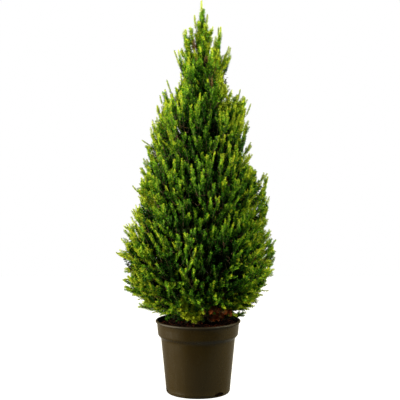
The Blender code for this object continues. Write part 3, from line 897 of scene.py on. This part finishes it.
# Shoots that stand out singly at the top and the shoulders: tip, lean per metre of rise, length,
# and the kind of those that aren't leafy.
SINGLES_AGING = -1.1
SINGLES_FORKS = 5
SINGLES = (
    ((-0.009, 0, 0.969), (-0.12, 0), 0.036, SPRIG), ((0.024, 0.004, 0.972), (0.12, 0), 0.026, SPRIG),
    ((-0.019, -0.012, 0.938), (-0.16, -0.1), 0.034), ((-0.017, 0.012, 0.914), (-0.2, 0.1), 0.034),
    ((-0.035, -0.004, 0.931), (-0.2, 0), 0.06), ((-0.029, -0.014, 0.908), (-0.22, -0.1), 0.046),
    ((-0.027, 0.01, 0.889), (-0.2, 0.1), 0.05), ((0.037, -0.01, 0.938), (0.35, -0.1), 0.042),
    ((0.035, 0.01, 0.914), (0.3, 0.1), 0.04), ((0.052, 0.004, 0.939), (-0.02, 0), 0.036, SPRIG),
    ((0.053, 0, 0.911), (0.05, 0), 0.06), ((0.047, -0.014, 0.883), (0.05, -0.1), 0.05),
    ((0.078, 0, 0.891), (0.28, 0), 0.026, SPRIG), ((0.07, 0, 0.873), (0.28, 0), 0.056),
    ((0.083, -0.006, 0.866), (0.62, 0), 0.042, SPRIG), ((-0.06, 0.004, 0.881), (-0.38, 0), 0.044, SPRIG),
    ((-0.042, -0.008, 0.885), (-0.22, 0), 0.024), ((-0.044, -0.01, 0.825), (-0.15, 0), 0.032, SPRIG),
    ((-0.079, -0.006, 0.806), (-0.32, 0), 0.036, SPRIG), ((0.074, 0.004, 0.814), (0.55, 0), 0.032, BARE),
    ((-0.097, 0, 0.767), (-0.25, 0), 0.024, SPRIG), ((0.107, -0.006, 0.782), (0.2, 0), 0.028, SPRIG),
    ((0.12, 0.006, 0.762), (0.25, 0), 0.026, SPRIG), ((0.134, -0.004, 0.746), (0.38, 0), 0.032, SPRIG),
    ((-0.11, -0.012, 0.726), (-0.35, -0.1), 0.05), ((-0.117, 0.004, 0.706), (-0.25, 0), 0.05),
    ((-0.105, 0.01, 0.741), (-0.3, 0.1), 0.05), ((-0.121, -0.016, 0.686), (-0.3, -0.1), 0.05),
    ((-0.116, 0.012, 0.665), (-0.3, 0), 0.05), ((0.002, -0.004, 0.954), (-0.08, 0), 0.04),
    ((0.022, 0.004, 0.949), (0.1, 0), 0.04), ((-0.004, -0.008, 0.931), (-0.14, -0.1), 0.044),
    ((0.026, 0.008, 0.927), (0.14, 0.1), 0.044), ((0.014, -0.016, 0.915), (0.02, -0.2), 0.044),
    ((0, 0.014, 0.907), (-0.1, 0.1), 0.044), ((0.027, -0.014, 0.898), (0.16, -0.1), 0.046),
    ((0.005, -0.02, 0.89), (-0.04, -0.2), 0.048), ((-0.01, -0.016, 0.883), (-0.14, -0.2), 0.048),
    ((0.037, 0.012, 0.879), (0.16, 0.1), 0.048), ((0.018, 0.02, 0.884), (0, 0.2), 0.048),
    ((-0.056, -0.01, 0.787), (-0.3, -0.1), 0.046), ((-0.068, 0.008, 0.772), (-0.3, 0.1), 0.046),
    ((-0.048, 0.006, 0.8), (-0.26, 0), 0.044), ((-0.082, -0.012, 0.757), (-0.3, -0.1), 0.046),
    ((-0.093, 0.01, 0.739), (-0.32, 0.1), 0.048), ((-0.077, 0.018, 0.746), (-0.25, 0.2), 0.048),
    ((0.071, -0.008, 0.795), (0.3, -0.1), 0.044), ((0.086, 0.008, 0.782), (0.3, 0.1), 0.046),
    ((0.098, -0.01, 0.769), (0.3, -0.1), 0.046), ((0.11, 0.008, 0.754), (0.3, 0.1), 0.046),
    ((0.118, -0.012, 0.736), (0.32, -0.1), 0.048), ((0.093, 0.02, 0.752), (0.25, 0.2), 0.048),
)
for tip, lean, length, *other in SINGLES:
    kind, forks = (other[0], 0) if other else (LEAFY, SINGLES_FORKS)
    groups.append(shoot_group([tip], [(*lean, 1)], length, mass_near(tip), 0, kind, forks, SINGLES_AGING))

# Clumps that stand out of the even crown: middle, spread, number of shoots, their direction and
# how far it varies, how much older they are drawn, less than nought being younger and lighter, which is
# partly painted light, and the kind of those that aren't leafy.
CLUMP_LENGTHS = (0.030, 0.050)
CLUMP_FORKS = 2
CLUMP_SHORTER = 0.6
# A clump ends at this many spreads from its middle.
CLUMP_EDGE = 1.6
CLUMPS = {
    "low_left": ((-0.179, -0.01, 0.294), (0.008, 0.03, 0.011), 16, (-1, -0.1, 0.35), 0.2, -0.6),
    "right_fringe": ((0.117, -0.02, 0.228), (0.01, 0.028, 0.007), 16, (1, -0.1, -0.1), 0.15, -0.3),
    "left_fringe": ((-0.136, -0.02, 0.23), (0.01, 0.028, 0.005), 18, (-1, -0.1, 0), 0.15, -0.6),
    "right": ((0.19, -0.01, 0.385), (0.007, 0.035, 0.024), 20, (0.7, -0.1, 0.85), 0.2, -0.4),
    "low_right": ((0.186, -0.01, 0.325), (0.007, 0.03, 0.012), 12, (1, -0.1, 0.4), 0.2, -0.4),
    "right_waist": ((0.136, 0, 0.578), (0.008, 0.022, 0.014), 12, (0.35, -0.1, 1), 0.1, -0.8),
    "right_hip": ((0.128, 0, 0.56), (0.008, 0.025, 0.02), 18, (0.35, -0.1, 1), 0.1, 0.2),
    "right_belly": ((0.172, -0.01, 0.5), (0.006, 0.026, 0.016), 12, (0.4, -0.1, 1), 0.1, -0.4),
    "right_side": ((0.107, 0, 0.64), (0.007, 0.026, 0.018), 18, (0.25, -0.1, 1), 0.1, -0.2),
    "left_waist": ((-0.122, -0.005, 0.61), (0.008, 0.022, 0.022), 12, (-0.3, -0.1, 1), 0.1, -0.6),
    "left_shoulder": ((-0.095, -0.01, 0.682), (0.008, 0.026, 0.024), 14, (-0.35, -0.1, 1), 0.12, -0.5),
    "left_collar": ((-0.074, -0.002, 0.76), (0.01, 0.02, 0.014), 16, (-0.28, 0, 1), 0.1, -0.3),
    "right_collar": ((0.102, 0, 0.746), (0.01, 0.02, 0.014), 22, (0.3, 0, 1), 0.1, -0.9),
    "front_tuft": ((-0.024, -0.117, 0.25), (0.012, 0.006, 0.013), 80, (-0.15, -0.7, 0.2), 0.2, -2),
    "tuft_foot": ((-0.018, -0.115, 0.223), (0.013, 0.005, 0.012), 80, (-0.05, -0.9, 0), 0.2, -2),
    "dead_tangle": ((0.06, -0.07, 0.217), (0.018, 0.012, 0.009), 44, (0.2, -0.3, 0.5), 0.6, 0, DEAD),
    "low_front": ((0.078, -0.09, 0.266), (0.026, 0.009, 0.017), 64, (0.5, -0.8, 0.15), 0.25, -1),
    "low_middle": ((0.02, -0.108, 0.256), (0.014, 0.008, 0.01), 34, (0, -0.8, 0.2), 0.3, -0.3),
    "brown_heart": ((0.022, -0.106, 0.238), (0.014, 0.008, 0.01), 34, (0.1, -0.8, 0.2), 0.4, 0, BARE),
    "brown_top": ((-0.01, -0.014, 0.903), (0.005, 0.005, 0.006), 5, (-0.1, -0.4, 1), 0.2, 0, BARE),
    "brown_neck": ((0.028, -0.036, 0.846), (0.014, 0.008, 0.014), 9, (0.1, -0.4, 1), 0.2, 0, BARE),
    "dry_twigs": ((-0.1, -0.062, 0.246), (0.022, 0.022, 0.012), 12, (-0.5, -0.6, 0.1), 0.7, 0, BARE),
}
# The browned heart under the front: its middle, its half sizes and the share that is dead.
BROWNED = ((0.044, -0.088, 0.230), (0.052, 0.055, 0.026), 0.45)
for group in groups[:2]:
    inside = (((group["tip"] - BROWNED[0]) / BROWNED[1]) ** 2).sum(axis=1) < 1
    dead = inside & (rng.random(len(inside)) < BROWNED[2])
    group["kind"][inside] = BARE
    group["kind"][dead] = DEAD
for middle, spread, count, way, varies, aging_and_shade, *other in CLUMPS.values():
    tips = np.array(middle) + rng.normal(0, 1, (count, 3)).clip(-CLUMP_EDGE, CLUMP_EDGE) * spread
    ways = unit(np.array(way) + rng.normal(0, varies, (count, 3)))
    lengths = rng.uniform(*CLUMP_LENGTHS, count) * (CLUMP_SHORTER if other else 1)
    nearest = [mass_near(tip) for tip in tips]
    groups.append(shoot_group(tips, ways, lengths, nearest, 0, *(other or [LEAFY]), CLUMP_FORKS, aging_and_shade))

# Thin new growth stands out of the crown here and there.
sprung = np.nonzero((rng.random(len(outer["tip"])) < WISP_SHARE) & (outer["kind"] == LEAFY))[0]
ways = unit(outer["way"][sprung] + rng.normal(0, WISP_SCATTER, (len(sprung), 3)))
reach = rng.uniform(*WISP_LENGTH, len(sprung))
tips = outer["tip"][sprung] + ways * (reach - WISP_OVERLAP)[:, None]
groups.append(shoot_group(tips, ways, reach, outer["mass"][sprung], 0, WISP, 0))
shoots = joined(groups)
# Two notches in the sides of the crown, as deep as its first shell: across, up and radius.
NOTCHES = ((0.138, 0.675, 0.023), (-0.128, 0.732, 0.020))
for x, z, radius in NOTCHES:
    clear = np.hypot(shoots["tip"][:, 0] - x, shoots["tip"][:, 2] - z) > radius
    clear |= shoots["layer"] > 0
    shoots = {key: values[clear] for key, values in shoots.items()}
feet = shoots["tip"] - shoots["way"] * shoots["length"][:, None]
across = np.hypot(shoots["tip"][:, 0], shoots["tip"][:, 1])
lowest = LIP_CLEAR + np.maximum(0, across - SKIRT_FOOT) * SKIRT_SLOPE
hangs = (np.minimum(feet[:, 2], shoots["tip"][:, 2]) < lowest) & (across > PAST_LIP)
shoots = {key: values[~hangs] for key, values in shoots.items()}


# Boughs inside the foliage: each limb runs on from the end of its bough, and from it side
# branches and twigs fork, by the shortest way that doesn't turn back, until every shoot is carried.

LIMB_STEP = 0.010
LIMB_REACH = 0.80
LIMB_LIFT = 0.6
SPIRE_LIMB_POINTS = 16
# What a twig costs: its own length, a share of its way back to the trunk, and so much if it would
# have to turn back.
DETOUR_COST = 0.35
TURN_BACK_COST = 0.05
LEAST_FORWARDS = 0.1
TWIG_BENDS = (0.4, 0.75)
TWIG_BOW = 0.45
TWIG_OVER_LIP = 0.008
TWIG_RADIUS = 0.00050
TWIG_THINNING = 1.6
FORK_POWER = 2.5
LIMB_RADIUS = 0.0030
TWIG_COLOUR = (0.062, 0.034, 0.014)


def bough_entry(mass_name):
    """The point where a mass's bough, or for the leader the trunk, enters it."""
    if mass_name == "mass_leader":
        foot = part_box(mass_name)[0].z
        return trunk_at([foot + 0.004])[0]
    carrier = triangles_of(mass_name.replace("mass_", "bough_")).reshape(-1, 3)
    mass = triangles_of(mass_name).reshape(-1, 3)
    gaps = np.linalg.norm(mass[:, None] - carrier[None], axis=2).min(axis=1)
    return mass[gaps.argmin()]


def limb_line(mass_name):
    """Points along the limb that runs on through a mass, curving up towards its far tip."""
    entry = bough_entry(mass_name)
    if mass_name == "mass_leader":
        return trunk_at(np.arange(entry[2], trunk_line[-1, 2], LIMB_STEP))
    mass = mass_names.index(mass_name)
    if in_spire[mass]:
        s = np.linspace(0, LIMB_REACH, SPIRE_LIMB_POINTS)[:, None]
        return entry + (mass_tops[mass] - entry) * s
    corners = triangles_of(mass_name).reshape(-1, 3)
    middle = corners.mean(axis=0)
    out = unit((middle - trunk_at([middle[2]])[0]) * (1, 1, 0))
    far = corners[((corners - entry) @ (out * (1 - LIMB_LIFT) + np.array((0, 0, LIMB_LIFT)))).argmax()]
    tip = entry + (far - entry) * LIMB_REACH
    steps = max(4, int(np.linalg.norm(tip - entry) / LIMB_STEP))
    s = np.linspace(0, 1, steps)[:, None]
    return entry * (1 - s) ** 2 + middle * 2 * s * (1 - s) + tip * s**2


def grow(mass_number):
    """The wood of one mass: points, the point each one grows from, and the radius at each."""
    line = limb_line(mass_names[mass_number])
    members = np.nonzero((shoots["mass"] == mass_number) & (shoots["kind"] != WISP))[0]
    places = list(line)
    parents = [-1, *range(len(line) - 1)]
    ways_in = [0.0, *np.cumsum(np.linalg.norm(np.diff(line, axis=0), axis=1))]
    feet = shoot_feet[members]
    away = np.linalg.norm(feet[:, None] - line[None], axis=2).min(axis=1)
    ends = []
    for shoot in members[away.argsort()]:
        foot, way = shoot_feet[shoot], shoots["way"][shoot]
        known = np.array(places)
        gaps = foot - known
        apart = np.linalg.norm(gaps, axis=1)
        behind = (gaps @ way) < LEAST_FORWARDS * apart
        cost = apart + DETOUR_COST * np.array(ways_in) + TURN_BACK_COST * behind
        start = int(cost.argmin())
        bend = foot - way * apart[start] * TWIG_BOW
        bend[2] = max(bend[2], min(foot[2], LIP_CLEAR + TWIG_OVER_LIP))
        last = start
        for s in (*TWIG_BENDS, 1.0):
            a = known[start] * (1 - s) ** 2
            places.append(a + bend * 2 * s * (1 - s) + foot * s * s)
            parents.append(last)
            ways_in.append(ways_in[last] + apart[start] / 3)
            last = len(places) - 1
        ends.append(last)
    loads = np.zeros(len(places))
    loads[ends] = TWIG_RADIUS**FORK_POWER
    for i in range(len(places) - 1, 0, -1):
        if parents[i] >= 0:
            loads[parents[i]] += loads[i]
    radii = np.maximum(loads ** (1 / FORK_POWER), TWIG_RADIUS)
    return np.array(places), np.array(parents), np.minimum(radii, LIMB_RADIUS)


def ring_frame(ways):
    """Two directions square to each way and to each other."""
    helper = np.where(np.abs(ways[:, 2:]) > 0.9, (1.0, 0, 0), (0, 0, 1.0))
    u = unit(np.cross(helper, ways))
    return u, np.cross(ways, u)


def rods(starts, ends, start_radii, end_radii, sides):
    """Points and faces of tapered rods, open at their ends, which lie inside their neighbours."""
    u, v = ring_frame(unit(ends - starts))
    angles = np.arange(sides) * math.tau / sides
    around = u[:, None] * np.cos(angles)[:, None] + v[:, None] * np.sin(angles)[:, None]
    low = starts[:, None] + around * start_radii[:, None, None]
    high = ends[:, None] + around * end_radii[:, None, None]
    k = np.arange(sides)
    after = (k + 1) % sides
    quads = np.stack([k, after, after + sides, k + sides], axis=1)
    faces = quads[None] + (np.arange(len(starts)) * sides * 2)[:, None, None]
    return np.concatenate([low, high], axis=1).reshape(-1, 3), faces.reshape(-1, 4)


shoot_feet = shoots["tip"] - shoots["way"] * shoots["length"][:, None]
twig_bark, _ = plain_material("twig_bark", TWIG_COLOUR, 0.8)
for tier, tier_name in enumerate(TIERS):
    starts, ends, radii = [], [], []
    for number, name in enumerate(mass_names):
        if tier_of(name) == tier:
            places, parents, thick = grow(number)
            rows = np.nonzero(parents >= 0)[0]
            starts.append(places[parents[rows]])
            ends.append(places[rows])
            radii.append(np.stack([thick[parents[rows]], thick[rows]], axis=1))
    starts, ends, radii = np.concatenate(starts), np.concatenate(ends), np.concatenate(radii)
    start_radii = np.minimum(radii[:, 0], radii[:, 1] * TWIG_THINNING)
    twigs = mesh_from_arrays(f"twigs_{tier_name}", *rods(starts, ends, start_radii, radii[:, 1], 3), True)
    wear(twigs, twig_bark)
    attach(twigs, "root")
    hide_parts(*[name for name in mass_names if tier_of(name) == tier])


# Needles: short, fine and soft, set all round every shoot and laid forwards towards its bud. The
# young ones at the tips are lime, those behind them leaf green, and those further in deep green, partly
# with age and partly as painted shade.

NEEDLE_LENGTH = 0.0067
NEEDLE_WIDTH = 0.00078
NEEDLE_WIDEST = 0.36
NEEDLE_FOLD = 0.6
# Length of stem for each needle, in each layer, and how large the needles are there.
NEEDLE_STEPS = np.array((0.00048, 0.00098, 0.00110, 0.00120, 0.00130, 0.00130))
LAYER_SIZES = np.array((1.0, 1.45, 2.0, 2.5, 2.8, 2.8))
LAYER_WIDTHS = np.array((1.0, 2.20, 3.7, 5.4, 6.2, 6.2))
# For each kind of shoot: needle length, how closely they stand and how far they spread.
KIND_SIZES = np.array((1.0, 0.76, 0.70, 1.0, 0.80))
KIND_CLOSENESS = np.array((1.0, 1.2, 0.30, 0.75, 0.9))
KIND_SPREADS = np.array((1.0, 0.68, 1.1, 1.15, 0.68))
# Needles are longer towards the top of the plant.
HIGH_NEEDLES = ((0.70, 1.0), (0.94, 1.40))
FORK_NEEDLES = 0.88
SIZE_SCATTER = (0.82, 1.08)
WIDTH_SCATTER = (0.85, 1.15)
WISP_NEEDLES = 0.8
# They stand round the shoot in a spiral from near its foot, at these angles to it, in degrees, and
# stand every way in the bud.
FIRST_NEEDLE = 0.06
FEWEST_NEEDLES = 8
GOLDEN_ANGLE = math.radians(137.5)
SPIRAL_SCATTER = 0.35
SPREAD_FOOT = 60
SPREAD_TIP = 52
SPREAD_POWER = 2.6
SPREAD_SCATTER = 7
BUD_FROM = 0.93
BUD_SPREAD = (5, 72)
SHORTER_TIP = 0.36
BLADE_TWIST = 0.6
SHOOT_BOW = 0.04
# Side shoots fork from these places along a shoot, with this share of its length, at this angle in
# degrees, closer to it where they crowd.
FORK_PLACES = (0.15, 0.68)
FORK_LENGTH = (0.24, 0.44)
FORK_LONGEST = 0.06
FORK_LEAN = (31, 6)
FORK_CROWD = 3
CROWDED_LEAN = 9
FORK_LIFT = 0.22
# How old and how shaded a needle is drawn, its darkening partly age and partly painted shade: at the
# foot of its shoot, how much lighter towards the tip, how much darker for each layer inwards and on a
# fork, and how far that varies by shoot and by needle.
AGE_AND_SHADE_AT_FOOT = 3.05
AGE_FALL = 2.5
AGE_FALL_POWER = 0.60
AGE_AND_SHADE_BY_LAYER = 1.5
AGE_ON_FORK = 0.3
AGE_SCATTER = (0.38, 0.42)
# Some needles near the foot have dried, and most on a sprig are new.
DRY_BELOW = 0.25
DRY_SHARE = 0.05
NEW_SHARE = 0.7
# The deep and shaded greens go to needles deep in the crown, where they are mostly painted shade.
SHADES = {
    "lime": ((0.280, 0.352, 0.014), 0.60),
    "fresh": ((0.100, 0.235, 0.008), 0.62),
    "leaf": ((0.025, 0.090, 0.004), 0.65),
    "deep": ((0.0060, 0.0320, 0.0018), 0.68),
    "shaded": ((0.0024, 0.0095, 0.0009), 0.70),
    "dry": ((0.080, 0.046, 0.009), 0.75),
    "rust": ((0.190, 0.046, 0.011), 0.80),
}
LIME, SHADED, DRY, RUST = 0, 4, 5, 6
rng = np.random.default_rng(19)


def with_side_shoots(mains):
    """The shoots, with shorter ones that fork from their lower part."""
    rows = np.repeat(np.arange(len(mains["tip"])), mains["forks"])
    way, length = mains["way"][rows], mains["length"][rows]
    u, v = ring_frame(way)
    around = rng.uniform(0, math.tau, len(rows))[:, None]
    lean = rng.normal(*FORK_LEAN, len(rows)) - CROWDED_LEAN * (mains["forks"][rows] > FORK_CROWD)
    lean = np.radians(lean)[:, None]
    side = np.cos(lean) * way + np.sin(lean) * (u * np.cos(around) + v * np.sin(around))
    side = unit(side + (0, 0, FORK_LIFT))
    reach = rng.uniform(*FORK_LENGTH, len(rows)) * np.minimum(length, FORK_LONGEST)
    foot = mains["tip"][rows] - way * (length * (1 - rng.uniform(*FORK_PLACES, len(rows))))[:, None]
    forks = shoot_group(
        foot + side * reach[:, None], side, reach, mains["mass"][rows], mains["layer"][rows],
        mains["kind"][rows], 0, mains["aging_and_shade"][rows],
    )
    main_order, fork_order = np.zeros(len(mains["tip"]), dtype=int), np.ones(len(rows), dtype=int)
    return joined([dict(mains, order=main_order), dict(forks, order=fork_order)])


def along_shoot(group, rows, share):
    """Points and directions at shares of the length of curved shoots."""
    way, length = group["way"][rows], group["length"][rows][:, None]
    foot = group["tip"][rows] - way * length
    bow = np.sin(math.pi * share)[:, None] * length * SHOOT_BOW
    down = np.array((0, 0, -1.0)) + way * way[:, 2:]
    slope = np.cos(math.pi * share)[:, None] * math.pi * SHOOT_BOW
    return foot + way * length * share[:, None] + down * bow, unit(way + down * slope)


def needles_on(group):
    """Foot, direction, stem, length, shoot and place along the shoot of every needle of a group."""
    closeness = KIND_CLOSENESS[group["kind"]] / NEEDLE_STEPS[group["layer"]]
    counts = np.maximum(FEWEST_NEEDLES, (group["length"] * closeness).astype(int))
    rows = np.repeat(np.arange(len(counts)), counts)
    number = np.arange(counts.sum()) - np.repeat(np.cumsum(counts) - counts, counts)
    share = FIRST_NEEDLE + (1 - FIRST_NEEDLE) * (number + rng.random(len(rows))) / counts[rows]
    foot, axis = along_shoot(group, rows, np.minimum(share, 1.0))
    u, v = ring_frame(axis)
    turn = (number * GOLDEN_ANGLE + rng.normal(0, SPIRAL_SCATTER, len(rows)))[:, None]
    spread = mix(SPREAD_FOOT, SPREAD_TIP, share**SPREAD_POWER)
    spread = np.where(share > BUD_FROM, rng.uniform(*BUD_SPREAD, len(rows)), spread)
    spread *= KIND_SPREADS[group["kind"][rows]]
    lean = np.radians(spread + rng.normal(0, SPREAD_SCATTER, len(rows)))[:, None]
    ways = np.cos(lean) * axis + np.sin(lean) * (u * np.cos(turn) + v * np.sin(turn))
    sizes = KIND_SIZES[group["kind"][rows]] * LAYER_SIZES[group["layer"][rows]]
    sizes *= np.where(group["order"][rows] > 0, FORK_NEEDLES, 1) * graph(HIGH_NEEDLES, foot[:, 2])
    lengths = NEEDLE_LENGTH * sizes * (1 - SHORTER_TIP * share**3) * rng.uniform(*SIZE_SCATTER, len(rows))
    return foot, unit(ways), axis, lengths, rows, share


def blades(feet, ways, stems, lengths, widths):
    """Points and faces of needles: slim kites, folded along the middle, edge towards the stem."""
    v = unit(np.cross(stems, ways))
    u = np.cross(v, ways)
    turn = rng.normal(0, BLADE_TWIST, len(feet))[:, None]
    across, back = u * np.cos(turn) + v * np.sin(turn), u * -np.sin(turn) + v * np.cos(turn)
    middle = feet + ways * (lengths * NEEDLE_WIDEST)[:, None] - back * (widths * NEEDLE_FOLD)[:, None]
    across = across * widths[:, None]
    points = np.stack([feet, middle + across, feet + ways * lengths[:, None], middle - across], axis=1)
    faces = np.array(((0, 1, 2), (0, 2, 3)))
    return points.reshape(-1, 3), (faces[None] + (np.arange(len(feet)) * 4)[:, None, None]).reshape(-1, 3)


group = with_side_shoots(shoots)
group["tier"] = np.array([tier_of(name) for name in mass_names])[group["mass"]]
feet, ways, stems, lengths, rows, share = needles_on(group)
count = len(rows)
kinds, layers, orders = group["kind"][rows], group["layer"][rows], group["order"][rows]
by_shoot = rng.normal(0, AGE_SCATTER[0], len(group["length"]))[rows]
varies = by_shoot + rng.normal(0, AGE_SCATTER[1], count)
# Lighter towards each tip and darker inwards: partly age and partly painted shade.
age_and_shade = AGE_AND_SHADE_AT_FOOT - AGE_FALL * share**AGE_FALL_POWER + layers * AGE_AND_SHADE_BY_LAYER + orders * AGE_ON_FORK + varies
age_and_shade += group["aging_and_shade"][rows]
shade_of = np.clip(np.round(age_and_shade), 0, SHADED).astype(int)
shade_of[(share < DRY_BELOW) & (rng.random(count) < DRY_SHARE)] = DRY
shade_of[kinds == WISP] = LIME
shade_of[(kinds == SPRIG) & (rng.random(count) < NEW_SHARE)] = LIME
shade_of[kinds == BARE] = DRY
shade_of[kinds == DEAD] = RUST
widths = NEEDLE_WIDTH * LAYER_WIDTHS[layers] * rng.uniform(*WIDTH_SCATTER, count)
widths *= np.where(kinds == WISP, WISP_NEEDLES, 1)
shade_paints = [plain_material(f"needle_{name}", *look, 0.05)[0] for name, look in SHADES.items()]
for tier, tier_name in enumerate(TIERS):
    for shade, shade_name in enumerate(SHADES):
        picked = (group["tier"][rows] == tier) & (shade_of == shade)
        if not picked.any():
            continue
        needles = mesh_from_arrays(
            f"needles_{tier_name}_{shade_name}",
            *blades(*(part[picked] for part in (feet, ways, stems, lengths, widths))), True,
        )
        wear(needles, shade_paints[shade])
        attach(needles, "root")
        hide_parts(*[name for name in mass_names if tier_of(name) == tier])

# The stem of each shoot, which its needles hide but for glimpses: two rods for a main shoot, to
# follow its bow, and one for a side shoot.
STEM_RADIUS = 0.00075
STEM_TAPER = 0.6
WISP_STEM = 0.5
mains, sides = (np.nonzero(group["order"] == order)[0] for order in (0, 1))
for tier, tier_name in enumerate(TIERS):
    starts, ends, low_radii, high_radii = [], [], [], []
    for members, low, high in ((mains, 0.0, 0.5), (mains, 0.5, 1.0), (sides, 0.0, 1.0)):
        members = members[group["tier"][members] == tier]
        thick = STEM_RADIUS * np.where(group["kind"][members] == WISP, WISP_STEM, 1)
        starts.append(along_shoot(group, members, np.full(len(members), low))[0])
        ends.append(along_shoot(group, members, np.full(len(members), high))[0])
        low_radii.append(thick * (1 - STEM_TAPER * low))
        high_radii.append(thick * (1 - STEM_TAPER * high))
    stems = mesh_from_arrays(
        f"shoot_stems_{tier_name}",
        *rods(*[np.concatenate(part) for part in (starts, ends, low_radii, high_radii)], 3), True,
    )
    wear(stems, twig_bark)
    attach(stems, "root")
    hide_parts(*[name for name in mass_names if tier_of(name) == tier])
